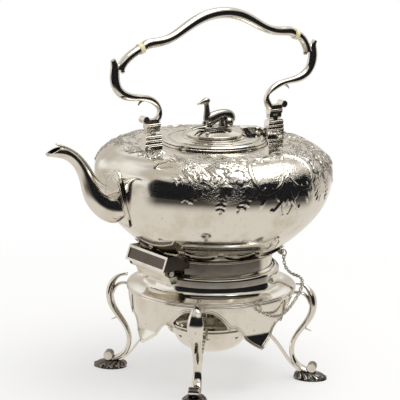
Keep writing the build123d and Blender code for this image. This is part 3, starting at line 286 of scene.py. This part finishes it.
def chasing(at):
    """Ornament of one half of a side: at is the way from its middle and from the lid, in mm."""
    field = at, np.zeros(len(at)), np.zeros(len(at))
    # cartouche frame: a C-scroll each side with a small volute at each end, and its inner fillet
    stroke(field, scroll((2.5, 37), -25, 14, 40, 0, 120), 1.4, 0.9)
    stroke(field, scroll((13, 39), -215, 78, 130, 215, 120), 2.3, 1.5)
    stroke(field, scroll((22, 43), -20, 34, 115, 0, 0), 0.9, 0.7)
    stroke(field, scroll((17, 73), 215, 26, -60, -190, -150), 1.8, 1.2)
    stroke(field, scroll((30, 40), 40, 40, 70, -160, 170), 1.5, 1.0)
    # pendant scrolls below
    stroke(field, scroll((3, 76), 80, 30, -50, 0, -260), 1.7, 1.1)
    stroke(field, scroll((14, 78), 30, 30, 75, -200, 160), 1.6, 1.0)
    stroke(field, scroll((7, 90), 95, 14, 30, 0, 180), 1.1, 0.7)
    leaf(field, np.array((0.6, 74)), 80, 17, 6, 1.0, 0)
    leaf(field, np.array((24, 80)), 60, 12, 5, 0.9)
    leaf(field, np.array((12, 76)), 100, 11, 4, 0.8)
    for x, y, h in ((26, 36, -40), (20, 33, -80), (33, 50, 20), (36, 60, 35), (31, 72, 60),
                    (8, 33, -100)):
        leaf(field, np.array((x, y)), h, 9, 3.6, 0.8)
    # flower spray towards each end
    for centre, radius, petals in (((49, 60), 9, 6), ((65, 53), 7.5, 5), ((62, 71), 6.5, 5),
                                   ((80, 62), 6, 5),
                                   ((56, 44), 5.5, 5), ((40, 74), 4.5, 5), ((92, 56), 4.5, 5)):
        rosette(field, np.array(centre), radius, petals, 1.7)
    fern(field, scroll((58, 62), -18, 54, 45), 10, 1.1, 8)
    fern(field, scroll((44, 66), 105, 32, -50, 0, -120), 8, 1.0, 6)
    fern(field, scroll((64, 74), 70, 24, 30, 0, 120), 7, 0.9, 5)
    fern(field, scroll((50, 54), -110, 36, 70, 0, 120), 8.5, 1.0, 6)
    fern(field, scroll((36, 47), -70, 28, 60, 0, 90), 7, 0.9, 5)
    fern(field, scroll((80, 52), -60, 34, -40, 0, -100), 7, 0.9, 5)
    fern(field, scroll((72, 66), 20, 34, 30, 0, 60), 7, 0.9, 5)
    fern(field, scroll((84, 70), 60, 26, -60, 0, -60), 6, 0.8, 4)
    fern(field, scroll((68, 44), -30, 40, 50, 0, 60), 7, 0.9, 6)
    # light scrolls over the shoulder
    for x, y, h, b in ((8, 29, -150, 130), (28, 31, -60, 140), (44, 26, -30, 120),
                       (62, 32, -90, 100),
                       (16, 20, -20, 150), (48, 16, -40, 120), (78, 30, -60, 130)):
        stroke(field, scroll((x, y), h, 24, b, 0, 220), 1.0, 0.6)
        leaf(field, np.array((x + 4, y)), h + 60, 9, 3.4, 0.7)
    # matted ground: the cartouche's field, and a lighter one round the flowers
    x, y = at.T
    shield = np.clip(3 - 3 * np.hypot(x / 27, (y - 57) / 16), 0, 1)
    ground = np.clip(2.5 - 2.5 * np.hypot((x - 64) / 44, (y - 56) / 30), 0, 1)
    return field[1], field[2], np.maximum(0.7 * shield, ground) * (field[1] < 0.05)


def socket_foliage(at):
    """Leaves that spread over the crown from a handle socket: at is outwards and across, in mm."""
    field = at, np.zeros(len(at)), np.zeros(len(at))
    for heading, long in ((0, 17), (26, 19), (52, 20), (78, 19), (104, 17), (128, 14)):
        for hand in (1, -1):
            leaf(field, np.array((5, 5.0 * hand)), heading * hand, long, 8, 1.5, 0.25 * hand)
    for heading, long in ((14, 13), (40, 15), (66, 15), (92, 13)):
        for hand in (1, -1):
            leaf(field, np.array((6, 5.5 * hand)), heading * hand, long, 5, 1.7, -0.2 * hand)
            stroke(field, scroll((13, 12 * hand), (20 + heading) * hand, 17, 60 * hand, 0,
                                 200 * hand), 1.1, 0.9)
    return field[1], field[2]


def raise_ornament(bm):
    """Raise the chasing on both sides of the bowl and mark its hollows and matted ground."""
    bm.verts.ensure_lookup_table()
    bm.normal_update()
    at = np.array([v.co for v in bm.verts]) / MM
    normals = np.array([v.normal for v in bm.verts])
    radius = np.hypot(at[:, 0], at[:, 1])
    outer = normals[:, 2] * at[:, 2] + (normals[:, :2] * at[:, :2]).sum(1) > 0
    # distance down the sheet from the lid's ring, by height and radius
    line = []
    for corners in reversed(BOWL_OUTLINE[1:]):
        line += geometry.interpolate_bezier(*[Vector((r, 0, z)) for r, z in reversed(corners)],
                                            500)[:-1]
    line = np.array([(p.x, p.z) for p in line])
    along = np.concatenate([[0], np.cumsum(np.hypot(*np.diff(line, axis=0).T))])
    rows, row = np.unique(np.round(np.stack([radius, at[:, 2]], -1), 2), axis=0,
                          return_inverse=True)
    gap = np.hypot(rows[:, None, 0] - line[None, :, 0], rows[:, None, 1] - line[None, :, 1])
    row = row.ravel()
    down = along[gap.argmin(1)][row]
    wanted = outer & (gap.min(1)[row] < 0.5)
    turn = np.arctan2(at[:, 1], at[:, 0])
    across = np.abs(np.abs(turn) - math.pi / 2) * radius
    field = np.stack([across, down], -1)[wanted]
    height, edge, matting = chasing(field)
    raised, crevice, matt = (np.zeros(len(at)) for _ in range(3))
    raised[wanted], crevice[wanted], matt[wanted] = height, edge, matting
    plan = np.stack([np.abs(at[:, 0]) - SOCKET_R, at[:, 1]], -1)
    near = np.hypot(*plan.T) < FOLIAGE_REACH
    crown = outer & near & (radius > CROWN[0]) & (at[:, 2] > CROWN[1])
    height, edge = socket_foliage(plan[crown])
    raised[crown] = np.maximum(raised[crown], height)
    crevice[crown] = np.maximum(crevice[crown] * (height < 0.05), edge)
    rise = (raised - RELIEF_BED) * outer
    moved = at + normals * rise[:, None]
    reach = np.hypot(moved[:, 0], moved[:, 1])
    moved[:, :2] *= np.minimum(1, BOWL_REACH / np.maximum(reach, 1))[:, None]
    hollow = bm.verts.layers.float.new("crevice")
    struck = bm.verts.layers.float.new("matting")
    for v, place, dark, ground in zip(bm.verts, moved * MM, crevice, matt):
        v.co, v[hollow], v[struck] = place, dark, ground


# -------------------------------------------------------------------- settings
class KettleFinish(bpy.types.PropertyGroup):
    """Colours and polish of the metals, and the ivory's colour."""
    silver: bpy.props.FloatVectorProperty(
        name="Silver", description="Clean silver plate", subtype="COLOR", size=4,
        min=0, max=1, default=linear("e4e0d8"))
    tarnish: bpy.props.FloatVectorProperty(
        name="Tarnish", description="Warm film where the plate is touched least", subtype="COLOR",
        size=4,
        min=0, max=1, default=linear("b9a88c"))
    oxide: bpy.props.FloatVectorProperty(
        name="Oxide", description="Black oxide left in hollows by polishing", subtype="COLOR",
        size=4,
        min=0, max=1, default=linear("2b2723"))
    ivory: bpy.props.FloatVectorProperty(
        name="Ivory", description="Insulating rings", subtype="COLOR", size=4,
        min=0, max=1, default=linear("efe2b6"))
    polish: bpy.props.FloatProperty(
        name="Roughness", description="Roughness of polished plate", subtype="FACTOR",
        min=0.02, max=0.5, default=0.085)


# ------------------------------------------------------------------- materials
def silver_plate(name, tarnish=0.45, oxide=0.0, roughness=None, chased=False, dulled=0.0,
                 shaded_panel=False):
    """Electroplated silver, buffed by hand: nearly white, patches of warm film, hairline wear; and,
    for the hinge box, painted shade over all but its frame.
    """
    finish = bpy.context.scene.kettle_finish
    rough = finish.polish if roughness is None else roughness
    material, tree = new_material(name)
    place = add(tree, "ShaderNodeTexCoord").outputs["Object"]
    # patches of film about 30 mm across, and specks about 4 mm across
    film = add(tree, "ShaderNodeTexNoise", {"Vector": place, "Scale": 1 / 0.03, "Detail": 4,
                                            "Roughness": 0.62})
    specks = add(tree, "ShaderNodeTexNoise", {"Vector": place, "Scale": 1 / 0.004, "Detail": 2})
    film_share = add(tree, "ShaderNodeMapRange",
                     {VALUE: film.outputs[0], FROM_LOW: 0.48, FROM_HIGH: 0.78, TO_LOW: 0.04,
                      TO_HIGH: tarnish})
    colour = add(tree, "ShaderNodeMix", {FACTOR: film_share.outputs[0],
                                         COLOUR_A: tuple(finish.silver),
                                         COLOUR_B: tuple(finish.tarnish)}, data_type="RGBA")
    speck_share = add(tree, "ShaderNodeMapRange",
                      {VALUE: specks.outputs[0], FROM_LOW: 0.66, FROM_HIGH: 0.8, TO_LOW: 0,
                       TO_HIGH: 0.3 + dulled})
    colour = add(tree, "ShaderNodeMix", {FACTOR: speck_share.outputs[0],
                                         COLOUR_A: colour.outputs[MIXED],
                                         COLOUR_B: tuple(finish.oxide)}, data_type="RGBA")
    wear = add(tree, "ShaderNodeMapRange", {VALUE: film.outputs[0], FROM_LOW: 0.3, FROM_HIGH: 0.75,
                                            TO_LOW: rough * 0.7, TO_HIGH: rough * 2.1})
    roughness_out = wear.outputs[0]
    if oxide:
        # recesses of cast work: dark where the surface is hollow, bright where cloth reaches
        hollow = add(tree, "ShaderNodeNewGeometry")
        depth = add(tree, "ShaderNodeMapRange",
                    {VALUE: hollow.outputs["Pointiness"], FROM_LOW: 0.56, FROM_HIGH: 0.46,
                     TO_LOW: 0, TO_HIGH: oxide})
        colour = add(tree, "ShaderNodeMix", {FACTOR: depth.outputs[0],
                                             COLOUR_A: colour.outputs[MIXED],
                                             COLOUR_B: tuple(finish.oxide)}, data_type="RGBA")
    if chased:
        crevice = add(tree, "ShaderNodeAttribute", attribute_name="crevice")
        depth = add(tree, "ShaderNodeMapRange",
                    {VALUE: crevice.outputs["Fac"], FROM_LOW: 0.25, FROM_HIGH: 1, TO_LOW: 0,
                     TO_HIGH: 0.85})
        colour = add(tree, "ShaderNodeMix", {FACTOR: depth.outputs[0],
                                             COLOUR_A: colour.outputs[MIXED],
                                             COLOUR_B: tuple(finish.oxide)}, data_type="RGBA")
        dull = add(tree, "ShaderNodeMath", {0: depth.outputs[0], 1: 0.35, 2: roughness_out},
                   operation="MULTIPLY_ADD")
        roughness_out = dull.outputs[0]
    if shaded_panel:
        # painted shade: the hinge box's sunk face and ends are coloured dark brown for the dark
        # they show; only its frame keeps the plate's colour
        rear = add(tree, "ShaderNodeVectorMath", {0: place, 1: PANEL_WAY},
                   operation="DOT_PRODUCT")
        sunk = add(tree, "ShaderNodeMapRange",
                   {VALUE: rear.outputs["Value"], FROM_LOW: PANEL_DEPTH[0],
                    FROM_HIGH: PANEL_DEPTH[1], TO_LOW: 0.9, TO_HIGH: 0})
        colour = add(tree, "ShaderNodeMix", {FACTOR: sunk.outputs[0],
                                             COLOUR_A: colour.outputs[MIXED],
                                             COLOUR_B: linear("3d2f24")}, data_type="RGBA")
    # hand planishing leaves waves about 12 mm long that bend reflections a little
    waves = add(tree, "ShaderNodeTexNoise", {"Vector": place, "Scale": 1 / 0.012, "Detail": 1})
    bump = add(tree, "ShaderNodeBump", {"Height": waves.outputs[0], "Strength": 0.25,
                                        "Distance": 0.0002})
    bump_out = bump.outputs[0]
    if chased:
        matting = add(tree, "ShaderNodeAttribute", attribute_name="matting")
        pits = add(tree, "ShaderNodeTexNoise", {"Vector": place, "Scale": 1 / 0.0016, "Detail": 2})
        struck = add(tree, "ShaderNodeMath", {0: pits.outputs[0], 1: matting.outputs["Fac"]},
                     operation="MULTIPLY")
        bump_out = add(tree, "ShaderNodeBump", {"Height": struck.outputs[0], "Strength": 1,
                                                "Distance": 0.0009, "Normal": bump_out}).outputs[0]
    shader = add(tree, "ShaderNodeBsdfPrincipled",
                 {"Base Color": colour.outputs[MIXED], "Metallic": 1.0,
                  "Roughness": roughness_out, "Normal": bump_out})
    add(tree, "ShaderNodeOutputMaterial", {0: shader.outputs[0]})
    return material


def turned_ivory(name):
    """Old ivory turned on a lathe: cream, faintly grained along the ring's bore, satin."""
    material, tree = new_material(name)
    place = add(tree, "ShaderNodeTexCoord").outputs["Object"]
    grain = add(tree, "ShaderNodeTexNoise", {"Vector": place, "Scale": 1 / 0.0015, "Detail": 3})
    share = add(tree, "ShaderNodeMapRange", {VALUE: grain.outputs[0], FROM_LOW: 0.4,
                                             FROM_HIGH: 0.75, TO_LOW: 0, TO_HIGH: 0.5})
    colour = add(tree, "ShaderNodeMix", {FACTOR: share.outputs[0],
                                         COLOUR_A: tuple(bpy.context.scene.kettle_finish.ivory),
                                         COLOUR_B: linear("cdb67c")}, data_type="RGBA")
    shader = add(tree, "ShaderNodeBsdfPrincipled",
                 {"Base Color": colour.outputs[MIXED], "Roughness": 0.34,
                  "IOR": 1.54, "Subsurface Weight": 0.15})
    add(tree, "ShaderNodeOutputMaterial", {0: shader.outputs[0]})
    return material


def braided_cotton(name):
    """Flat-braided cotton lamp wick: off-white, matt, strands about 0.9 mm apart."""
    material, tree = new_material(name)
    place = add(tree, "ShaderNodeTexCoord").outputs["Object"]
    strands = add(tree, "ShaderNodeTexWave", {"Vector": place, "Scale": 1 / 0.0025,
                                              "Distortion": 2.0},
                  bands_direction="DIAGONAL")
    share = add(tree, "ShaderNodeMapRange", {VALUE: strands.outputs["Fac"], FROM_LOW: 0,
                                             FROM_HIGH: 1, TO_LOW: 0.1, TO_HIGH: 0.6})
    colour = add(tree, "ShaderNodeMix", {FACTOR: share.outputs[0], COLOUR_A: linear("e9e3d2"),
                                         COLOUR_B: linear("b7aa8d")},
                 data_type="RGBA")
    bump = add(tree, "ShaderNodeBump", {"Height": strands.outputs["Fac"], "Distance": 0.0003})
    shader = add(tree, "ShaderNodeBsdfPrincipled",
                 {"Base Color": colour.outputs[MIXED], "Roughness": 0.95,
                  "Normal": bump.outputs[0]})
    add(tree, "ShaderNodeOutputMaterial", {0: shader.outputs[0]})
    return material


class KETTLE_OT_finishes(bpy.types.Operator):
    """Give every carried-over metal, ivory and cotton piece its finish"""
    bl_idname = "kettle.finishes"
    bl_label = "Finishes"

    def execute(self, context):
        plate = silver_plate("buffed_silver_plate")
        cast = silver_plate("cast_silver_plate", tarnish=0.9, oxide=1.5, roughness=0.2)
        dull = silver_plate("dulled_silver_links", tarnish=0.8, roughness=0.28, dulled=0.3)
        ivory = turned_ivory("turned_ivory")
        cotton = braided_cotton("braided_cotton")
        slots = {"silver": plate, "oxidised_silver": cast, "chain_silver": dull, "ivory": ivory,
                 "wick_cotton": cotton}
        for part in frame["record"]["subparts"]:
            dress(part["node"], slots[part["material_slot"]])
        # the hinge box: real tarnish and specks, with painted shade on all of it short of its frame
        box = silver_plate("tarnish_and_shade_silver_plate", tarnish=0.9, roughness=0.2, dulled=0.3,
                           shaded_panel=True)
        dress("hinge_box", box)
        hound = silver_plate("cast_silver_hound", tarnish=0.3, oxide=0.8, roughness=0.13)
        self.casting("finial_hound", "lid", hound, 0.3, 2)
        for corner in ("front_left", "front_right", "rear_left", "rear_right"):
            self.casting("foot_" + corner, "stand", cast, 0.35, 4)
        return {"FINISHED"}

    def casting(self, node, body, material, voxel, rounds):
        """A merged copy of a casting, its tool edges softened as in a mould."""
        bm = bmesh.new()
        bm.from_mesh(frame["nodes"][node].data)
        bmesh.ops.remove_doubles(bm, verts=bm.verts, dist=1e-6)
        piece = finish_piece(node + "_casting", bm, material, body, (node,))
        remesh = piece.modifiers.new("skin", "REMESH")
        remesh.mode, remesh.voxel_size, remesh.use_smooth_shade = "VOXEL", voxel * MM, True
        soften = piece.modifiers.new("soften", "SMOOTH")
        soften.factor, soften.iterations = 0.5, rounds


# ------------------------------------------------------------------------ bowl
class KETTLE_OT_bowl(bpy.types.Operator):
    """Turn the bowl's sheet and raise the chased ornament on its shoulder"""
    bl_idname = "kettle.bowl"
    bl_label = "Chased bowl"

    def execute(self, context):
        chased = silver_plate("chased_silver_plate", tarnish=0.5, chased=True)
        plain = silver_plate("planished_silver_plate", tarnish=0.6)
        line = []
        for (knot, lead, trail, end), rows in zip(BOWL_OUTLINE, BOWL_ROWS):
            corners = [Vector((r, 0, z)) * MM for r, z in (knot, lead, trail, end)]
            line += geometry.interpolate_bezier(*corners, rows)[:-1]
        line.append(Vector((LID_EDGE[0], 0, LID_EDGE[1])) * MM)
        start = next(n for n, p in enumerate(line) if p.z > CHASED_FROM * MM)
        inner = [Vector((r, 0, z)) * MM for r, z in BOWL_INSIDE]
        under = [Vector((0, 0, line[0].z))] + line[:start + 1] + inner[INSIDE_SPLIT:]
        inward = Vector((RELIEF_BED * MM, 0, 0))
        self.turn("bowl_sheet", [p - inward * (p.x > 0) for p in under], plain, math.tau, 0,
                  BOWL_STEPS)
        over = line[start:] + inner[:INSIDE_SPLIT + 1]
        sides = [self.turn(name, over, chased, math.pi, turn, CHASED_STEPS)
                 for name, turn in (("chased_side_left", 0), ("chased_side_right", math.pi))]
        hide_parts(*BOWL_NODES)
        return {"FINISHED"}

    def turn(self, name, line, material, angle, turned, steps):
        """Turn an outline through part of a circle into a piece, and chase it if it is a side."""
        whole = angle == math.tau
        bm = bmesh.new()
        verts = [bm.verts.new(Matrix.Rotation(turned, 3, "Z") @ p) for p in line]
        edges = [bm.edges.new(pair) for pair in zip(verts, verts[1:])]
        bmesh.ops.spin(bm, geom=verts + edges, cent=(0, 0, 0), axis=(0, 0, 1), angle=angle,
                       steps=steps, use_merge=whole, dvec=(0, 0, 0), use_duplicate=False)
        bmesh.ops.remove_doubles(bm, verts=bm.verts, dist=1e-6)
        bmesh.ops.recalc_face_normals(bm, faces=bm.faces)
        if not whole:
            bm.normal_update()
            middle = turned + angle / 2
            out = Vector((math.cos(middle), math.sin(middle), 0))
            if max(bm.faces, key=lambda f: f.calc_center_median().dot(out)).normal.dot(out) < 0:
                bmesh.ops.reverse_faces(bm, faces=bm.faces)
            raise_ornament(bm)
        return finish_piece(name, bm, material, "kettle")


# -------------------------------------------------------------- applied mouldings
class KETTLE_OT_mouldings(bpy.types.Operator):
    """Run the lid's rings, the wire round the spout's collar and the apron's reeded edge"""
    bl_idname = "kettle.mouldings"
    bl_label = "Applied mouldings"

    def execute(self, context):
        silver = silver_plate("drawn_silver_wire", tarnish=0.5)
        bm = bmesh.new()
        for radius, z, thick in LID_LINES:
            hoop(bm, radius, z, thick)
        finish_piece("lid_rings", bm, silver, "lid")
        bm = bmesh.new()
        for share, thick in ((0.95, 0.75), (0.8, 0.45)):
            turns = [math.radians(a) for a in range(0, 361, 6)]
            wire(bm, [self.collar_place(COLLAR_HALF[0] * share * math.sin(t),
                                        COLLAR_HALF[1] * share * math.cos(t), 1.9) for t in turns],
                 thick)
        for hand in (1, -1):
            for x, z, heading, long, bow, curl, thick in ((0.5, 25.5, -24, 16, 20, 230, 1.0),
                                                          (1, 22.5, -50, 11, 40, 200, 0.75),
                                                          (0.5, 27, 10, 10, -60, -190, 0.7),
                                                          (2, -24, -70, 6, 30, 160, 0.8)):
                path = scroll((x, z), heading, long, bow, 0, curl, 30)
                wire(bm, [self.collar_place(hand * y, up, 2.1) for y, up in path],
                     taper(len(path), thick))
        finish_piece("collar_scrolls", bm, silver, "kettle")
        bm = bmesh.new()
        edge = []
        for corners in APRON_EDGE:
            edge += geometry.interpolate_bezier(*[Vector((y, 0, z)) for y, z in corners], 12)[:-1]
        edge.append(Vector((0, 0, APRON_EDGE[-1][-1][1])))
        for quarter in range(4):
            for hand in (1, -1):
                for inset, thick in ((0.35, 0.75), (2.3, 0.4)):
                    wire(bm, [self.apron_place(p, inset, hand, quarter)
                              for p in self.inset(edge, inset)], thick)
        finish_piece("apron_edge", bm, silver, "stand")
        return {"FINISHED"}

    def collar_place(self, across, up, out):
        """A place on the spout's collar, across and up from its middle and out from the bowl."""
        z = COLLAR_Z + up
        radius = turned_radius(BOWL_OUTLINE, z) + out
        return math.sqrt(radius ** 2 - across ** 2), across, z

    def inset(self, edge, distance):
        """The edge moved into the sheet."""
        moved = []
        for n, point in enumerate(edge):
            along = (edge[min(n + 1, len(edge) - 1)] - edge[max(n - 1, 0)]).normalized()
            moved.append(point + Vector((along.z, 0, -along.x)) * distance)
        return [p for p in moved if p.x >= 0]

    def apron_place(self, point, inset, hand, quarter):
        """A place on the apron's skin beside one of its four pendants."""
        radius = turned_radius(APRON_OUTLINE, point.z) + 0.1
        turn = math.asin(hand * point.x / radius) + quarter * math.pi / 2
        return radius * math.cos(turn), radius * math.sin(turn), point.z


# ----------------------------------------------------------------------- stage
class KETTLE_OT_stage(bpy.types.Operator):
    """Lay the pale floor, the studio's reflections, a soft lamp and the camera"""
    bl_idname = "kettle.stage"
    bl_label = "Stage"

    def execute(self, context):
        scene = context.scene
        scene.view_settings.view_transform = "Standard"
        self.floor()
        self.world(scene)
        lamp = bpy.data.lights.new("softbox", "AREA")
        lamp.shape, lamp.size, lamp.size_y, lamp.energy = "RECTANGLE", 1.1, 0.8, 9.0
        softbox = bpy.data.objects.new("softbox", lamp)
        softbox.location = (-0.25, 0.25, 1.35)
        aim = Vector((0, 0, 0.1)) - softbox.location
        softbox.rotation_euler = aim.to_track_quat("-Z", "Y").to_euler()
        scene.collection.objects.link(softbox)
        camera_data = bpy.data.cameras.new("camera")
        camera_data.sensor_fit = "HORIZONTAL"
        camera_data.sensor_width, camera_data.lens = 36.0, CAMERA_LENS
        camera_data.clip_end = 20
        camera = bpy.data.objects.new("camera", camera_data)
        camera.location = Vector(CAMERA_PLACE) * MM
        aim = (Vector(CAMERA_AIM) * MM - camera.location).normalized()
        level = aim.cross(Vector((0, 0, 1))).normalized()
        roll = math.radians(CAMERA_ROLL)
        right = level * math.cos(roll) + level.cross(aim) * math.sin(roll)
        up = right.cross(aim)
        camera.rotation_euler = Matrix((right, up, -aim)).transposed().to_euler()
        scene.collection.objects.link(camera)
        scene.camera = camera
        return {"FINISHED"}

    def floor(self):
        """A white table top; the camera sees it as white paper with the piece's shadow on it."""
        bm = bmesh.new()
        bmesh.ops.create_circle(bm, cap_ends=True, segments=96, radius=FLOOR_RADIUS)
        mesh = bpy.data.meshes.new("floor")
        bm.to_mesh(mesh)
        bm.free()
        floor = bpy.data.objects.new("floor", mesh)
        bpy.context.scene.collection.objects.link(floor)
        material, tree = new_material("white_paper")
        seen = add(tree, "ShaderNodeLightPath")
        place = add(tree, "ShaderNodeTexCoord").outputs["Object"]
        reach = add(tree, "ShaderNodeVectorMath", {0: place}, operation="LENGTH")
        fade = add(tree, "ShaderNodeMapRange",
                   {VALUE: reach.outputs["Value"], FROM_LOW: 0.25, FROM_HIGH: 0.6, TO_LOW: 0.5,
                    TO_HIGH: 1.0})
        paper_share = add(tree, "ShaderNodeMath",
                          {0: seen.outputs["Is Camera Ray"], 1: fade.outputs[0]},
                          operation="MULTIPLY")
        paper = add(tree, "ShaderNodeBsdfDiffuse", {"Color": linear("f6f5f2")})
        white = add(tree, "ShaderNodeEmission", {"Color": (1, 1, 1, 1), "Strength": 1.0})
        mix = add(tree, "ShaderNodeMixShader",
                  {0: paper_share.outputs[0], 1: paper.outputs[0], 2: white.outputs[0]})
        # what the silver mirrors: warm paper near the feet, then the room's dark before the table
        way = add(tree, "ShaderNodeVectorMath", {0: place}, operation="NORMALIZE")
        front = add(tree, "ShaderNodeVectorMath", {0: way.outputs[0], 1: ROOM_WAY},
                    operation="DOT_PRODUCT")
        side = add(tree, "ShaderNodeMapRange",
                   {VALUE: front.outputs["Value"], FROM_LOW: 0.0, FROM_HIGH: 0.3},
                   interpolation_type="SMOOTHSTEP")
        far = add(tree, "ShaderNodeMapRange", {VALUE: reach.outputs["Value"], FROM_LOW: 0.3,
                                               FROM_HIGH: 0.52},
                  interpolation_type="SMOOTHSTEP")
        dark = add(tree, "ShaderNodeMath", {0: side.outputs[0], 1: far.outputs[0]},
                   operation="MULTIPLY")
        tone = add(tree, "ShaderNodeMix", {FACTOR: dark.outputs[0], COLOUR_A: linear("ebe6de"),
                                           COLOUR_B: linear("4d4843")},
                   data_type="RGBA")
        mirrored = add(tree, "ShaderNodeEmission", {"Color": tone.outputs[MIXED], "Strength": 1.0})
        last = add(tree, "ShaderNodeMixShader",
                   {0: seen.outputs["Is Glossy Ray"], 1: mix.outputs[0],
                    2: mirrored.outputs[0]})
        add(tree, "ShaderNodeOutputMaterial", {0: last.outputs[0]})
        mesh.materials.append(material)

    def world(self, scene):
        """White all round, with the dark of the room behind the camera for the silver to mirror."""
        world = bpy.data.worlds.new("studio")
        scene.world = world
        world.use_nodes = True
        tree = world.node_tree
        tree.nodes.clear()
        way = add(tree, "ShaderNodeTexCoord").outputs["Generated"]
        split = add(tree, "ShaderNodeSeparateXYZ", {0: way})
        wobble = add(tree, "ShaderNodeTexNoise", {"Vector": way, "Scale": 2.2, "Detail": 1})
        height = add(tree, "ShaderNodeMath", {0: wobble.outputs[0], 1: 0.22, 2: split.outputs["Z"]},
                     operation="MULTIPLY_ADD")
        low = add(tree, "ShaderNodeMapRange", {VALUE: height.outputs[0], FROM_LOW: -0.6,
                                               FROM_HIGH: -0.5}, interpolation_type="SMOOTHSTEP")
        high = add(tree, "ShaderNodeMapRange",
                   {VALUE: height.outputs[0], FROM_LOW: 0.62, FROM_HIGH: 0.72, TO_LOW: 1,
                    TO_HIGH: 0},
                   interpolation_type="SMOOTHSTEP")
        level = add(tree, "ShaderNodeVectorMath", {0: way, 1: (1, 1, 0)}, operation="MULTIPLY")
        level = add(tree, "ShaderNodeVectorMath", {0: level.outputs[0]},
                    operation="NORMALIZE").outputs[0]
        facing = add(tree, "ShaderNodeVectorMath", {0: level, 1: ROOM_WAY}, operation="DOT_PRODUCT")
        front = add(tree, "ShaderNodeMapRange",
                    {VALUE: facing.outputs["Value"], FROM_LOW: 0.03, FROM_HIGH: 0.08},
                    interpolation_type="SMOOTHSTEP")
        band = add(tree, "ShaderNodeMath", {0: low.outputs[0], 1: high.outputs[0]},
                   operation="MULTIPLY")
        room = add(tree, "ShaderNodeMath", {0: band.outputs[0], 1: front.outputs[0]},
                   operation="MULTIPLY")
        clouds = add(tree, "ShaderNodeTexNoise", {"Vector": way, "Scale": 1.7, "Detail": 2})
        cloud = add(tree, "ShaderNodeMapRange",
                    {VALUE: clouds.outputs[0], FROM_LOW: 0.42, FROM_HIGH: 0.6})
        walls = add(tree, "ShaderNodeMix", {FACTOR: cloud.outputs[0], COLOUR_A: linear("d3cdc3"),
                                            COLOUR_B: (1.08, 1.07, 1.05, 1)},
                    data_type="RGBA")
        mirrored = add(tree, "ShaderNodeMix", {FACTOR: room.outputs[0],
                                               COLOUR_A: walls.outputs[MIXED],
                                               COLOUR_B: (0.012, 0.012, 0.014, 1)},
                       data_type="RGBA")
        seen = add(tree, "ShaderNodeLightPath")
        sharp = add(tree, "ShaderNodeMath", {0: seen.outputs["Is Glossy Ray"],
                                             1: seen.outputs["Is Transmission Ray"]},
                    operation="MAXIMUM")
        ambient = add(tree, "ShaderNodeBackground", {"Color": (1, 1, 1, 1), "Strength": 0.72})
        reflection = add(tree, "ShaderNodeBackground",
                         {"Color": mirrored.outputs[MIXED], "Strength": 1.0})
        backdrop = add(tree, "ShaderNodeBackground", {"Color": (1, 1, 1, 1), "Strength": 1.0})
        unseen = add(tree, "ShaderNodeMixShader",
                     {0: sharp.outputs[0], 1: ambient.outputs[0], 2: reflection.outputs[0]})
        mix = add(tree, "ShaderNodeMixShader",
                  {0: seen.outputs["Is Camera Ray"], 1: unseen.outputs[0],
                   2: backdrop.outputs[0]})
        add(tree, "ShaderNodeOutputWorld", {0: mix.outputs[0]})


class KETTLE_PT_panel(bpy.types.Panel):
    """Buttons for each group of pieces"""
    bl_idname = "KETTLE_PT_panel"
    bl_label = "Spirit kettle"
    bl_space_type = "VIEW_3D"
    bl_region_type = "UI"
    bl_category = "Kettle"

    def draw(self, context):
        for operator in OPERATORS:
            self.layout.operator(operator.bl_idname)
        for name in KettleFinish.__annotations__:
            self.layout.prop(context.scene.kettle_finish, name)


OPERATORS = (KETTLE_OT_finishes, KETTLE_OT_bowl, KETTLE_OT_mouldings, KETTLE_OT_stage)
CLASSES = (KettleFinish,) + OPERATORS + (KETTLE_PT_panel,)


def register():
    """Register the classes and hang the settings on the scene."""
    for cls in CLASSES:
        bpy.utils.register_class(cls)
    bpy.types.Scene.kettle_finish = bpy.props.PointerProperty(type=KettleFinish)


def unregister():
    """Take the classes and settings off again."""
    del bpy.types.Scene.kettle_finish
    for cls in reversed(CLASSES):
        bpy.utils.unregister_class(cls)


def main():
    """Register the classes and run every operator in order."""
    register()
    for operator in OPERATORS:
        group, name = operator.bl_idname.split(".")
        getattr(getattr(bpy.ops, group), name)()


if __name__ == "__main__":
    main()
